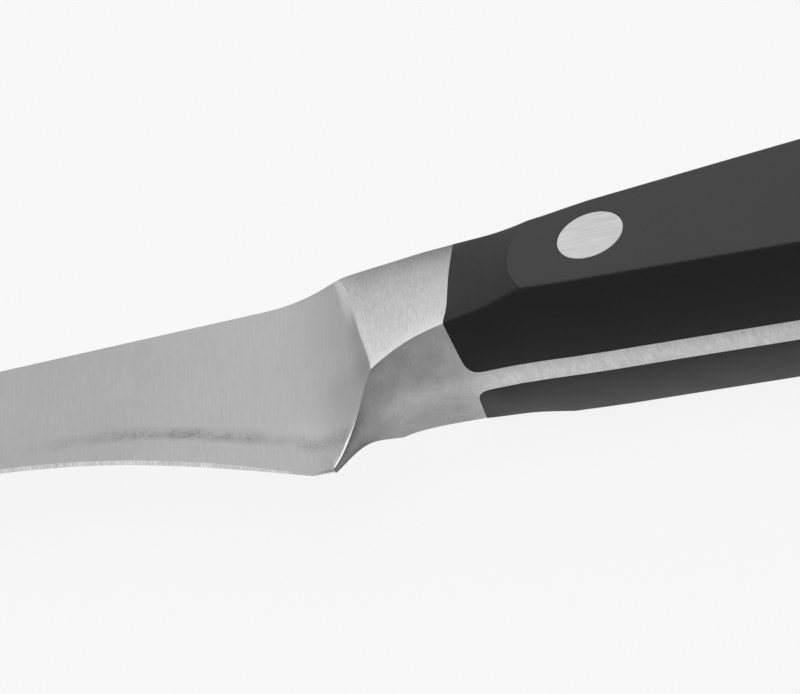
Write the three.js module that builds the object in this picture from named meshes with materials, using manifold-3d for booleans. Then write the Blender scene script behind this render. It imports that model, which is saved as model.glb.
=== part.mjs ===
// Ham knife with a full tang, modelled in millimetres.
//
// One forging carries the blade, the bolster and the tang. Two handle scales lie against the tang,
// behind the bolster, and two-piece rivets clamp them. Bolster, tang and scales are ground together,
// so all of them are cut from the same grip form.
//
// Axes: +X runs from the bolster to the butt, +Y from the cutting edge to the spine and +Z out of
// the left side of the knife, which lies on its right side. While modelling, X = 0 is the shoulder
// where the scales meet the bolster, Y = 0 is the line of the rivets and Z = 0 is the middle of
// the tang.

import * as THREE from 'three';
import { mergeVertices } from 'three/addons/utils/BufferGeometryUtils.js';
import Module from 'manifold-3d';

const wasm = await Module();
wasm.setup();

// Blade
const BLADE_LENGTH = 250;          // heel corner to point
const SPINE_HEIGHT = 9.03;         // spine above the line of the rivets
const HEEL_HEIGHT = 26.5;          // spine to heel corner
const WAIST_HEIGHT = 15.2;         // spine to edge where the heel sweep ends
const FORE_HEIGHT = 13.4;          // spine to edge where the point begins
const HEEL_SWEEP = 47;             // length over which the edge rises from heel to waist
const HEEL_RUN = 16;               // reach of the straight start of that sweep
const HEEL_GRADE = 0.4;            // slope of the straight start
const WAIST_RUN = 19;              // reach of the level end of that sweep
const POINT_SWEEP = 46;            // length over which edge and spine run together
const POINT_DROP = 3.4;            // point below the spine
const POINT_HEIGHT = 0.6;          // blunt height left at the very point
const POINT_RUN = 20;              // reach of the level start of the point, on edge and spine
const NOSE_RUN = 6;                // reach of the rounded nose
const NOSE_DEPTH = 5;              // depth of the rounded nose below the point
const SPINE_THICKNESS = 2.2;       // at the heel
const FORE_THICKNESS = 1.2;        // at the point
const EDGE_THICKNESS = 0.36;       // just above the sharpened bevel
const EDGE_BEVEL = 0.6;            // height of the sharpened bevel
const HEEL_BEVEL = 0.15;           // height of the bevel that is left at the heel
const BEVEL_RUNOUT = 12;           // length over which the bevel fades to that

// Bolster, measured forward from the shoulder
const RIDGE_SETBACK = 14.4;        // ridge, at the spine
const RIDGE_THICKNESS = 6.42;      // across the ridge at the spine
const KNUCKLE_SETBACK = 8.5;       // knuckle, where ridge and underside meet
const KNUCKLE_DEPTH = 8.6;         // knuckle below the rivets
const KNUCKLE_THICKNESS = 9.52;    // across the ridge at the knuckle
const CHEEK_SETBACK = 3.3;         // fullest part of the cheeks
const CHEEK_THICKNESS = 12.2;      // across the cheeks
const NECK_THICKNESS = 13.38;      // across the shoulder
const HOLLOW_RADIUS = 19.6;        // hollow between blade and ridge
const HOLLOW_SPINE = 23.34;        // start of the hollow, at the spine
const HOLLOW_MIDDLE = 22.8;        // start of the hollow, at the height of the rivets
const HOLLOW_KNUCKLE = 21.28;      // start of the hollow, at the knuckle
const HOLLOW_GUARD = 17.48;        // start of the hollow, half way down the finger guard
const HOLLOW_HEEL = 15.54;         // start of the hollow, at the heel
const GUARD_SETBACK = 12.9;        // foot of the finger guard
const GUARD_STEEP = 3.66;          // height of the guard before it begins to turn
const GUARD_LEAN = 2.52;           // backward lean of the guard over that height
const GUARD_TURN = 11.4;           // length of the turn into the neck
const HEEL_LENGTH = 2.4;           // flat foot between heel corner and finger guard
const BACK_SETBACK = 4.8;          // place where the back comes down to the spine
const BACK_RISE = 0.16;            // height that the back still has above the spine there
const BOLSTER_CROWN = 0.3;         // rise of the bolster sides between their edges

// Handle, measured back from the shoulder; heights of the back are taken from the line of the
// spine, heights of the belly from the line of the rivets
const HANDLE_LENGTH = 112;         // butt
const HANDLE_THICKNESS = 17.26;    // across the side flats
const TANG_THICKNESS = 2.43;
const FLAT_SETBACK = 8.9;          // corners of the side flat
const FLAT_RUN = 4.4;              // length over which the stock rises past the flat
const NECK_SWELL = 0.72;           // growth of each side half way between shoulder and flat
const NECK_CROWN = 0.55;           // rise of the scale sides between their edges, at the flat
const NECK_RUN = 3.8;              // level stretch of the belly
const NECK_BELLY = 8.74;           // belly at the shoulder
const NECK_DROP = 0.26;            // back below the spine, at the shoulder
const WAIST_SETBACK = 7.5;         // lowest place of the back
const WAIST_DROP = 0.67;           // back below the spine there
const RIVET_BELLY = 9.72;          // belly at the first rivet
const RIVET_RISE = 0.52;           // back above the spine, at the first rivet
const PALM_SETBACK = 64;           // fullest place of the handle
const PALM_BELLY = 12.6;           // belly there
const PALM_RISE = 4;               // back above the spine there
const BUTT_BELLY = 13;             // belly where the butt begins to turn
const BUTT_RISE = 2;               // back above the spine there
const BUTT_BACK_RADIUS = 10;
const BUTT_BELLY_RADIUS = 5;
const BUTT_SIDE_RADIUS = 4.5;
const BELLY_SLOPE = 0.42;          // rise of the belly chamfers across their width
const BACK_SLOPE = 0.5;            // fall of the back chamfers across their width
const SHOULDER_SLOPE = 0.19;       // lean of the shoulder face towards the butt, at the tang
const SHOULDER_FILLET = 1.5;       // rounding between shoulder and tang
const SCALE_CLEARANCE = 0.04;      // between a scale and the forging

// Rivets
const RIVET_COUNT = 3;
const RIVET_FRONT = 15.8;          // shoulder to the first rivet
const RIVET_REAR = 28.2;           // last rivet to butt
const HEAD_DIAMETER = 7;
const HEAD_HEIGHT = 3;
const POST_DIAMETER = 2.9;         // solid half, inside the hollow half
const SLEEVE_WALL = 0.81;          // hollow half
const SOCKET_FLOOR = 1;            // metal left under the bore of the hollow half
const RIVET_CLEARANCE = 0.04;      // around heads, sleeves and posts

// Fineness of the surfaces
const ROUND_SEGMENTS = 32;         // around a rivet
const FACE_STEPS = 6;              // across a side face of the grip
const CHAMFER_SHARES = [0.08, 0.16, 0.3, 0.55];  // across a chamfer, closer at the middle
const BLADE_STEPS = 16;            // across the blade
const GUARD_STEPS = 18;            // along the finger guard
const TURN_STEPS = 6;              // around the butt
const POINT_STEPS = 9;             // along the point
const FINE_PITCH = 1;              // along the bolster and the neck
const HEEL_PITCH = 4;              // along the heel sweep
const HANDLE_PITCH = 7;            // along the handle
const BLADE_PITCH = 20;            // along the plain blade
const CLOSEST_PITCH = 0.02;        // between any two sections
const MERGE_DISTANCE = 0.0001;     // points closer than this are one point
const HALVINGS = 40;               // of a curve, to find its height at a place

// Places and halves that follow from the sizes above
const TANG_HALF = TANG_THICKNESS / 2;
const SIDE_HALF = HANDLE_THICKNESS / 2;
const SLEEVE_BORE = POST_DIAMETER + 2 * RIVET_CLEARANCE;
const SLEEVE_DIAMETER = SLEEVE_BORE + 2 * SLEEVE_WALL;
const HEEL_Y = SPINE_HEIGHT - HEEL_HEIGHT;
const HEEL_X = -GUARD_SETBACK - HEEL_LENGTH;
const POINT_X = HEEL_X - BLADE_LENGTH;
const WAIST_X = HEEL_X - HEEL_SWEEP;
const FORE_X = POINT_X + POINT_SWEEP;
const FORE_TAPER = (WAIST_HEIGHT - FORE_HEIGHT) / (WAIST_X - FORE_X);
const OVERRUN = 1.2;               // stock left beyond a ground face
const STOCK = 60;                  // reach of the cutting blocks beyond the knife

/** A smooth line through a few [x, value] knots that never swings past them. */
function rail(knots) {
  const last = knots.length - 1;
  const chord = knots.slice(1).map(([x, v], i) => (v - knots[i][1]) / (x - knots[i][0]));
  const slope = knots.map((knot, i) => {
    if (i === 0 || i === last) {
      return chord[i === 0 ? 0 : last - 1];
    }
    const before = chord[i - 1];
    const after = chord[i];
    return before * after <= 0 ? 0 : (2 * before * after) / (before + after);
  });
  return (x) => {
    let i = 0;
    while (i < last - 1 && x > knots[i + 1][0]) {
      i += 1;
    }
    const [x0, v0] = knots[i];
    const [x1, v1] = knots[i + 1];
    const span = x1 - x0;
    const t = THREE.MathUtils.clamp((x - x0) / span, 0, 1);
    const rise = t * t * (3 - 2 * t);
    const lead = t * (1 - t) * (1 - t) * slope[i];
    const trail = t * t * (t - 1) * slope[i + 1];
    return v0 + (v1 - v0) * rise + span * (lead + trail);
  };
}

/** Height of a plane curve at x, for a curve whose x runs one way. */
function heightAt(curve, x) {
  const rising = curve.getPoint(1).x > curve.getPoint(0).x;
  let low = 0;
  let high = 1;
  for (let step = 0; step < HALVINGS; step += 1) {
    const middle = (low + high) / 2;
    const short = curve.getPoint(middle).x < x;
    if (short === rising) {
      low = middle;
    } else {
      high = middle;
    }
  }
  return curve.getPoint(low).y;
}

/** A stretch divided into equal steps, both ends included. */
function divide(from, to, steps) {
  return Array.from({ length: steps + 1 }, (unused, i) => from + ((to - from) * i) / steps);
}

/** A stretch divided into equal steps of about the given pitch. */
function spread(from, to, pitch) {
  return divide(from, to, Math.max(1, Math.round(Math.abs(to - from) / pitch)));
}

/** Rising list of places, each at least a little beyond the one before. */
function inOrder(places) {
  const sorted = [...places].sort((a, b) => a - b);
  return sorted.filter((x, i) => i === 0 || x - sorted[i - 1] > CLOSEST_PITCH);
}

/** Skin sections that lie across X, each a ring of [y, z] points, into one closed solid. */
function loft(places, sectionAt) {
  const rings = places.map((x) => sectionAt(x).map(([y, z]) => [x, y, z]));
  const count = rings[0].length;
  const index = [];
  for (let i = 0; i < rings.length - 1; i += 1) {
    for (let k = 0; k < count; k += 1) {
      const a = i * count + k;
      const b = i * count + ((k + 1) % count);
      index.push(a, b, a + count, b, b + count, a + count);
    }
  }
  const cap = (ring, start, flip) => {
    const outline = ring.map(([, y, z]) => new THREE.Vector2(y, z));
    for (const [a, b, c] of THREE.ShapeUtils.triangulateShape(outline, [])) {
      index.push(start + a, start + (flip ? c : b), start + (flip ? b : c));
    }
  };
  cap(rings[0], 0, true);
  cap(rings[rings.length - 1], (rings.length - 1) * count, false);
  const geometry = new THREE.BufferGeometry();
  geometry.setAttribute('position', new THREE.Float32BufferAttribute(rings.flat(2), 3));
  geometry.setIndex(index);
  return solid(geometry);
}

/** A closed three.js geometry as a solid that can be joined and cut. */
function solid(geometry) {
  const bare = new THREE.BufferGeometry();
  bare.setAttribute('position', geometry.getAttribute('position'));
  bare.setIndex(geometry.getIndex());
  const merged = mergeVertices(bare, MERGE_DISTANCE);
  return new wasm.Manifold(new wasm.Mesh({
    numProp: 3,
    vertProperties: new Float32Array(merged.getAttribute('position').array),
    triVerts: new Uint32Array(merged.getIndex().array),
  }));
}

/** A block from one corner to the opposite one. */
function block(low, high) {
  const size = high.map((value, i) => value - low[i]);
  const geometry = new THREE.BoxGeometry(...size);
  geometry.translate(...low.map((value, i) => value + size[i] / 2));
  return solid(geometry);
}

/** A round bar along Z, for holes. */
function bar(x, radius, low, high) {
  const geometry = new THREE.CylinderGeometry(radius, radius, high - low, ROUND_SEGMENTS);
  geometry.rotateX(Math.PI / 2);
  geometry.translate(x, 0, (low + high) / 2);
  return solid(geometry);
}

/** A turned part along Z from its [radius, z] outline, which starts and ends on the axis. */
function turned(x, outline) {
  const points = outline.map(([radius, z]) => new THREE.Vector2(radius, z));
  const geometry = new THREE.LatheGeometry(points, ROUND_SEGMENTS);
  geometry.rotateX(Math.PI / 2);
  geometry.translate(x, 0, 0);
  return solid(geometry);
}

/** Loss of height where a corner of this radius rounds the butt. */
function buttDrop(x, radius) {
  const beyond = Math.max(0, x - HANDLE_LENGTH + radius);
  return radius - Math.sqrt(Math.max(0, radius * radius - beyond * beyond));
}

// Grip form: bolster, tang and scales together

const guard = new THREE.CubicBezierCurve(
  new THREE.Vector2(-GUARD_SETBACK, HEEL_Y),
  new THREE.Vector2(-GUARD_SETBACK + GUARD_LEAN, HEEL_Y + GUARD_STEEP),
  new THREE.Vector2(-GUARD_TURN, -NECK_BELLY),
  new THREE.Vector2(0, -NECK_BELLY),
);

const bellyLine = rail([
  [0, -NECK_BELLY],
  [NECK_RUN, -NECK_BELLY],
  [RIVET_FRONT, -RIVET_BELLY],
  [PALM_SETBACK, -PALM_BELLY],
  [HANDLE_LENGTH - BUTT_BELLY_RADIUS, -BUTT_BELLY],
  [HANDLE_LENGTH, -BUTT_BELLY],
]);

const backLine = rail([
  [-RIDGE_SETBACK, SPINE_HEIGHT + OVERRUN],
  [-BACK_SETBACK, SPINE_HEIGHT + BACK_RISE],
  [0, SPINE_HEIGHT - NECK_DROP],
  [WAIST_SETBACK, SPINE_HEIGHT - WAIST_DROP],
  [RIVET_FRONT, SPINE_HEIGHT + RIVET_RISE],
  [PALM_SETBACK, SPINE_HEIGHT + PALM_RISE],
  [HANDLE_LENGTH - BUTT_BACK_RADIUS, SPINE_HEIGHT + BUTT_RISE],
  [HANDLE_LENGTH, SPINE_HEIGHT + BUTT_RISE],
]);

const sideLine = rail([
  [-RIDGE_SETBACK, RIDGE_THICKNESS / 2],
  [-KNUCKLE_SETBACK, KNUCKLE_THICKNESS / 2],
  [-CHEEK_SETBACK, CHEEK_THICKNESS / 2],
  [0, NECK_THICKNESS / 2],
  [FLAT_SETBACK / 2, NECK_THICKNESS / 2 + NECK_SWELL],
  [FLAT_SETBACK, SIDE_HALF],
  [FLAT_SETBACK + FLAT_RUN, SIDE_HALF + OVERRUN],
  [HANDLE_LENGTH, SIDE_HALF + OVERRUN],
]);

const crownLine = rail([
  [0, BOLSTER_CROWN],
  [FLAT_SETBACK, NECK_CROWN],
]);

/** How far a chamfer has run from the middle of the grip, softened over the width of the tang. */
function chamferRun(z) {
  return Math.hypot(z, TANG_HALF) - TANG_HALF;
}

/** The long lines of the grip at x: belly, back, side, and the two edges of a side face. */
function gripLines(x) {
  const ahead = Math.max(0, -GUARD_SETBACK - x) * (GUARD_STEEP / GUARD_LEAN);
  const under = x < 0 ? heightAt(guard, Math.max(x, -GUARD_SETBACK)) - ahead : bellyLine(x);
  const belly = under + buttDrop(x, BUTT_BELLY_RADIUS);
  const back = backLine(x) - buttDrop(x, BUTT_BACK_RADIUS);
  const half = sideLine(x) - buttDrop(x, BUTT_SIDE_RADIUS);
  const low = belly + chamferRun(half) * BELLY_SLOPE;
  const high = back - chamferRun(half) * BACK_SLOPE;
  return { belly, back, half, low, high };
}

/** Ring of the grip at x, before the side flats are ground. */
function gripSection(x) {
  const { belly, back, half, low, high } = gripLines(x);
  const widths = CHAMFER_SHARES.map((share) => share * half);
  const chamferUnder = widths.map((z) => [belly + chamferRun(z) * BELLY_SLOPE, z]);
  const chamferOver = widths.map((z) => [back - chamferRun(z) * BACK_SLOPE, z]);
  const face = divide(-1, 1, FACE_STEPS).map((across) => [
    THREE.MathUtils.lerp(low, high, (across + 1) / 2),
    half + crownLine(x) * (1 - across * across),
  ]);
  const left = [...chamferUnder, ...face, ...chamferOver.reverse()];
  const right = left.map(([y, z]) => [y, -z]);
  return [[belly, 0], ...right, [back, 0], ...left.reverse()];
}

/** Grip form with its side flats ground. */
function buildGrip() {
  const turn = divide(0, Math.PI / 2, TURN_STEPS);
  const places = inOrder([
    FRONT_X - OVERRUN,
    ...guard.getPoints(GUARD_STEPS).map((point) => point.x),
    ...spread(0, FLAT_SETBACK + FLAT_RUN, FINE_PITCH),
    ...spread(FLAT_SETBACK + FLAT_RUN, HANDLE_LENGTH - BUTT_BACK_RADIUS, HANDLE_PITCH),
    ...turn.map((angle) => HANDLE_LENGTH - BUTT_BACK_RADIUS * (1 - Math.sin(angle))),
    ...turn.map((angle) => HANDLE_LENGTH - BUTT_SIDE_RADIUS * (1 - Math.sin(angle))),
  ]);
  const flats = block(
    [FRONT_X - STOCK, -STOCK, -SIDE_HALF],
    [HANDLE_LENGTH + STOCK, STOCK, SIDE_HALF],
  );
  return loft(places, gripSection).intersect(flats);
}

// Blade form: blade with the hollow that rises to the ridge

const heelSweep = new THREE.CubicBezierCurve(
  new THREE.Vector2(HEEL_X, HEEL_Y),
  new THREE.Vector2(HEEL_X - HEEL_RUN, HEEL_Y + HEEL_RUN * HEEL_GRADE),
  new THREE.Vector2(WAIST_X + WAIST_RUN, SPINE_HEIGHT - WAIST_HEIGHT - WAIST_RUN * FORE_TAPER),
  new THREE.Vector2(WAIST_X, SPINE_HEIGHT - WAIST_HEIGHT),
);

const pointEdge = new THREE.CubicBezierCurve(
  new THREE.Vector2(POINT_X, SPINE_HEIGHT - POINT_DROP - POINT_HEIGHT),
  new THREE.Vector2(POINT_X + NOSE_RUN, SPINE_HEIGHT - POINT_DROP - NOSE_DEPTH),
  new THREE.Vector2(FORE_X - POINT_RUN, SPINE_HEIGHT - FORE_HEIGHT + POINT_RUN * FORE_TAPER),
  new THREE.Vector2(FORE_X, SPINE_HEIGHT - FORE_HEIGHT),
);

const pointSpine = new THREE.QuadraticBezierCurve(
  new THREE.Vector2(POINT_X, SPINE_HEIGHT - POINT_DROP),
  new THREE.Vector2(FORE_X - POINT_RUN, SPINE_HEIGHT),
  new THREE.Vector2(FORE_X, SPINE_HEIGHT),
);

/** Height of the cutting edge at x. */
function edgeHeight(x) {
  if (x > HEEL_X) {
    return HEEL_Y;
  }
  if (x > WAIST_X) {
    return heightAt(heelSweep, x);
  }
  if (x < FORE_X) {
    return heightAt(pointEdge, x);
  }
  return SPINE_HEIGHT - WAIST_HEIGHT + (WAIST_X - x) * FORE_TAPER;
}

/** Height of the spine at x. */
function spineHeight(x) {
  return x < FORE_X ? heightAt(pointSpine, x) : SPINE_HEIGHT;
}

/** Half thickness of the flat-ground blade at a place on its face. */
function faceHalf(x, y) {
  const along = THREE.MathUtils.clamp((x - HEEL_X) / (POINT_X - HEEL_X), 0, 1);
  const spine = THREE.MathUtils.lerp(SPINE_THICKNESS, FORE_THICKNESS, along) / 2;
  const edge = edgeHeight(x);
  const up = THREE.MathUtils.clamp((y - edge) / (spineHeight(x) - edge), 0, 1);
  return THREE.MathUtils.lerp(EDGE_THICKNESS / 2, spine, up);
}

const hollowStart = rail([
  [HEEL_Y, -HOLLOW_HEEL],
  [(HEEL_Y - KNUCKLE_DEPTH) / 2, -HOLLOW_GUARD],
  [-KNUCKLE_DEPTH, -HOLLOW_KNUCKLE],
  [0, -HOLLOW_MIDDLE],
  [SPINE_HEIGHT, -HOLLOW_SPINE],
]);

/** Half thickness of the blade with its hollow. */
function bladeHalf(x, y) {
  const into = Math.max(0, x - hollowStart(y));
  return faceHalf(x, y) + (into * into) / (2 * HOLLOW_RADIUS);
}

/** Ring of the blade at x, with the sharpened bevel at the bottom. */
function bladeSection(x) {
  const edge = edgeHeight(x);
  const spine = spineHeight(x);
  const sharpened = THREE.MathUtils.smoothstep(HEEL_X - x, 0, BEVEL_RUNOUT);
  const height = THREE.MathUtils.lerp(HEEL_BEVEL, EDGE_BEVEL, sharpened);
  const bevel = Math.min(height, (spine - edge) / 2);
  const face = divide(edge + bevel, spine, BLADE_STEPS);
  const left = face.map((y) => [y, bladeHalf(x, y)]);
  const right = left.map(([y, z]) => [y, -z]);
  return [[edge, 0], ...right, ...left.reverse()];
}

/** Blade form, which runs on into the bolster as far as the shoulder. */
function buildBlade() {
  const hollow = -Math.max(HOLLOW_SPINE, HOLLOW_MIDDLE, HOLLOW_KNUCKLE);
  const turn = divide(0, Math.PI / 2, POINT_STEPS);
  const places = inOrder([
    ...turn.map((angle) => POINT_X + POINT_SWEEP * (1 - Math.cos(angle))),
    ...spread(FORE_X, WAIST_X, BLADE_PITCH),
    ...spread(WAIST_X, hollow, HEEL_PITCH),
    ...spread(hollow, HEEL_X, FINE_PITCH),
    ...spread(HEEL_X, SHOULDER_FILLET + NECK_RUN, FINE_PITCH),
  ]);
  return loft(places, bladeSection);
}

/** Foremost place at height y where the hollow is as thick as the bolster. */
function ridgePlace(y) {
  let x = hollowStart(y);
  while (bladeHalf(x, y) < sideLine(x)) {
    x += SCALE_CLEARANCE;
  }
  return x;
}

// Ahead of this place there is only blade
const ridgePlaces = divide(HEEL_Y, SPINE_HEIGHT, BLADE_STEPS).map(ridgePlace);
const FRONT_X = Math.min(HEEL_X, ...ridgePlaces) - SCALE_CLEARANCE;

// Cutting shapes

/** Room of the left scale: behind the shoulder and outside the tang, drawn in plan. */
function scaleRoom(clearance) {
  const inner = TANG_HALF + clearance;
  const shoulder = (z) => (NECK_THICKNESS / 2 - z) * SHOULDER_SLOPE + clearance;
  const far = HANDLE_LENGTH + STOCK;
  const outside = SIDE_HALF + STOCK;
  const rounded = inner + SHOULDER_FILLET;
  const plan = new THREE.Shape();
  plan.moveTo(far, inner);
  plan.lineTo(far, outside);
  plan.lineTo(shoulder(outside), outside);
  plan.lineTo(shoulder(rounded), rounded);
  plan.quadraticCurveTo(shoulder(inner), inner, shoulder(inner) + SHOULDER_FILLET, inner);
  plan.closePath();
  const geometry = new THREE.ExtrudeGeometry(plan, {
    depth: 2 * STOCK,
    bevelEnabled: false,
    curveSegments: TURN_STEPS,
  });
  geometry.rotateX(Math.PI / 2);
  geometry.translate(0, STOCK, 0);
  return geometry;
}

/** The same room on the right side. */
function scaleRoomRight(clearance) {
  return scaleRoom(clearance).rotateX(Math.PI);
}

const rivetPlaces = divide(RIVET_FRONT, HANDLE_LENGTH - RIVET_REAR, RIVET_COUNT - 1);

/** Holes through the whole handle for the rivets: sleeve bores, and counterbores for the heads. */
function rivetHoles() {
  const sleeve = SLEEVE_DIAMETER / 2 + RIVET_CLEARANCE;
  const head = HEAD_DIAMETER / 2 + RIVET_CLEARANCE;
  const seat = SIDE_HALF - HEAD_HEIGHT - RIVET_CLEARANCE;
  const holes = rivetPlaces.map((x) => {
    const through = bar(x, sleeve, -SIDE_HALF - OVERRUN, SIDE_HALF + OVERRUN);
    const left = bar(x, head, seat, SIDE_HALF + OVERRUN);
    const right = bar(x, head, -SIDE_HALF - OVERRUN, -seat);
    return through.add(left).add(right);
  });
  return holes.reduce((all, hole) => all.add(hole));
}

// Sub-parts

const grip = buildGrip();
const holes = rivetHoles();

/** Blade, bolster and tang in one piece. */
function buildForging() {
  const ahead = block([POINT_X - STOCK, -STOCK, -STOCK], [FRONT_X, STOCK, STOCK]);
  const rooms = solid(scaleRoom(0)).add(solid(scaleRoomRight(0)));
  const head = buildBlade().intersect(grip.add(ahead)).subtract(rooms);
  const slab = block([0, -STOCK, -TANG_HALF], [HANDLE_LENGTH + STOCK, STOCK, TANG_HALF]);
  return head.add(grip.intersect(slab)).subtract(holes);
}

/** One handle scale, cut to its room and drilled. */
function buildScale(room) {
  return grip.intersect(solid(room)).subtract(holes);
}

/** Solid rivet half: a head in the left scale and a post. */
function buildPost(x) {
  const top = SIDE_HALF;
  const under = top - HEAD_HEIGHT;
  const tip = -SIDE_HALF + SOCKET_FLOOR + RIVET_CLEARANCE;
  const post = POST_DIAMETER / 2;
  const head = HEAD_DIAMETER / 2;
  return turned(x, [[0, tip], [post, tip], [post, under], [head, under], [head, top], [0, top]]);
}

/** Hollow rivet half: a head in the right scale and a sleeve around the post. */
function buildSleeve(x) {
  const top = SIDE_HALF - HEAD_HEIGHT - RIVET_CLEARANCE;
  const bottom = -SIDE_HALF;
  const under = bottom + HEAD_HEIGHT;
  const floor = bottom + SOCKET_FLOOR;
  const bore = SLEEVE_BORE / 2;
  const sleeve = SLEEVE_DIAMETER / 2;
  const head = HEAD_DIAMETER / 2;
  return turned(x, [
    [0, bottom], [head, bottom], [head, under], [sleeve, under],
    [sleeve, top], [bore, top], [bore, floor], [0, floor],
  ]);
}

const steel = { color: 0xb8babc, metalness: 1, roughness: 0.35 };
const rivetSteel = { color: 0xc6c7c8, metalness: 1, roughness: 0.3 };
const polymer = { color: 0x1c1c1d, metalness: 0, roughness: 0.45 };

const knife = new THREE.Group();
knife.name = 'ham_knife';

/** Put a finished solid into the knife under its own name. */
function place(name, body, finish) {
  const { numProp, vertProperties, triVerts } = body.getMesh();
  const stored = new THREE.InterleavedBuffer(vertProperties, numProp);
  const geometry = new THREE.BufferGeometry();
  geometry.setAttribute('position', new THREE.InterleavedBufferAttribute(stored, 3, 0));
  geometry.setIndex(new THREE.BufferAttribute(triVerts, 1));
  const mesh = new THREE.Mesh(geometry, new THREE.MeshStandardMaterial(finish));
  mesh.name = name;
  knife.add(mesh);
}

place('blade_forging', buildForging(), steel);
place('left_scale', buildScale(scaleRoom(SCALE_CLEARANCE)), polymer);
place('right_scale', buildScale(scaleRoomRight(SCALE_CLEARANCE)), polymer);
rivetPlaces.forEach((x, i) => {
  place(`rivet_post_${i + 1}`, buildPost(x), rivetSteel);
  place(`rivet_sleeve_${i + 1}`, buildSleeve(x), rivetSteel);
});

// The knife rests on its right side flat, with the origin under the middle of its outline
const bounds = new THREE.Box3().setFromObject(knife);
const middle = bounds.getCenter(new THREE.Vector3());
knife.position.set(-middle.x, -middle.y, -bounds.min.z);
knife.updateMatrixWorld(true);

export default knife;
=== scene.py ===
"""Ham knife: the fine surfaces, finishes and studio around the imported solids.

The knife is modelled in millimetres in its own frame and then moved to the frame of the solids, in
metres. In the knife's frame X = 0 is the shoulder where the scales meet the bolster, Y = 0 is the
line of the rivets and Z = 0 is the middle of the tang. +X runs to the butt, +Y to the spine and +Z
out of the left side.
"""

import logging
import math
from bisect import bisect
from collections.abc import Callable, Iterable, Sequence
from dataclasses import dataclass, field
from enum import Enum
from functools import cached_property
from typing import ClassVar

import bmesh
import bpy
from mathutils import Matrix, Vector


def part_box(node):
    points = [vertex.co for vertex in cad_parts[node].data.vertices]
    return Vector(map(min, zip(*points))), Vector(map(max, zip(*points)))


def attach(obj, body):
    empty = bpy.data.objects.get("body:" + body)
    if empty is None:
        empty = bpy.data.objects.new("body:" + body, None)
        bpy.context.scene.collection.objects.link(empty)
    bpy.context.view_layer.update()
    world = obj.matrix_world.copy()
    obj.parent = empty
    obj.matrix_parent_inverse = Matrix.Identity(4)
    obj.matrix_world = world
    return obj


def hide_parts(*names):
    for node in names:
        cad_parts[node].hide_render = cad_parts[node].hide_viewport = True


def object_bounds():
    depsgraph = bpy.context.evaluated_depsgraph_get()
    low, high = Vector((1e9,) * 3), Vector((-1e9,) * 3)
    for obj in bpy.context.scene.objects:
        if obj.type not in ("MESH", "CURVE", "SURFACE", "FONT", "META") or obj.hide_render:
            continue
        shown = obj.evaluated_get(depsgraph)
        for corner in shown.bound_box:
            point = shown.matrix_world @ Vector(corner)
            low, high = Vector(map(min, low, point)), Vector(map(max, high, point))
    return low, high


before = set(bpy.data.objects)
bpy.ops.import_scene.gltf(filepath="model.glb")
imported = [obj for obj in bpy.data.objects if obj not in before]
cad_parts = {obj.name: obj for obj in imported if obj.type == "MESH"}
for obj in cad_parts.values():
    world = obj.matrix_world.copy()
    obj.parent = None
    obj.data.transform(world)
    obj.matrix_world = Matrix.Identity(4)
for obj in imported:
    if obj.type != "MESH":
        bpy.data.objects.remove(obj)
CAD_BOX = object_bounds()

LOG = logging.getLogger("ham_knife")
BODY = "root"
MM = 0.001
# Rounds of a search, and knots of a line that is measured
HALVINGS = 40
CURVE_STEPS = 96
# Points closer than this, in millimetres, are one
MERGE_DISTANCE = 0.0005
# Lines of a shoulder face, as shares of the way from its rim to the tang
SHOULDER_SHARES = (0.35, 0.7, 0.8, 0.88, 0.95, 1.0)
# Power that keeps the wider rounding of the shoulder's rim close to the shoulder
RIM_POWER = 8
# Nearly all values of a noise lie between these two
NOISE_LOW = 0.28
NOISE_HIGH = 0.72

Curve = Callable[[float], Vector]
Inputs = dict[str | int, object]
Material = bpy.types.Material
Mesh = bmesh.types.BMesh
Piece = bpy.types.Object
Socket = bpy.types.NodeSocket
Tree = bpy.types.NodeTree


class Side(Enum):
    """The two sides of the knife, with the sign of their Z."""

    LEFT = 1
    RIGHT = -1


class Zone(Enum):
    """Stretches of the forging, from the point to the butt."""

    BLADE = 0
    FOOT = 1
    GUARD = 2
    BOLSTER = 3
    TANG = 4


class Slot(Enum):
    """Material slots of the record."""

    FORGED_STEEL = "forged_steel"
    POLYMER = "polymer"
    RIVET_STEEL = "rivet_steel"


# Small helpers for lines and numbers


def lerp(start: float, end: float, share: float) -> float:
    """Value at a share of the way from start to end."""
    return start + (end - start) * share


def divide(start: float, end: float, steps: int) -> list[float]:
    """A stretch divided into equal steps, both ends included."""
    return [lerp(start, end, i / steps) for i in range(steps + 1)]


def smoothstep(value: float, low: float, high: float) -> float:
    """Soft step from 0 at low to 1 at high."""
    share = min(1.0, max(0.0, (value - low) / (high - low)))
    return share * share * (3 - 2 * share)


@dataclass(frozen=True)
class Step:
    """A soft step from 0 at one place to 1 at another."""

    start: float
    end: float

    def __call__(self, place: float) -> float:
        """Height of the step at a place."""
        return smoothstep(place, self.start, self.end)


def soft_least(first: float, second: float, softness: float) -> float:
    """The lesser of two values, rounded where they are about equal."""
    return (first + second - math.hypot(first - second, softness)) / 2


def crossing(rise: Callable[[float], float], low: float, high: float) -> float:
    """Place between low and high where a rising function passes zero.

    Args:
        rise: function that is negative at low and positive at high.
        low: lower end of the search.
        high: upper end of the search.

    Returns:
        The place of the zero.
    """
    for _ in range(HALVINGS):
        middle = (low + high) / 2
        if rise(middle) < 0:
            low = middle
        else:
            high = middle
    return (low + high) / 2


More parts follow.
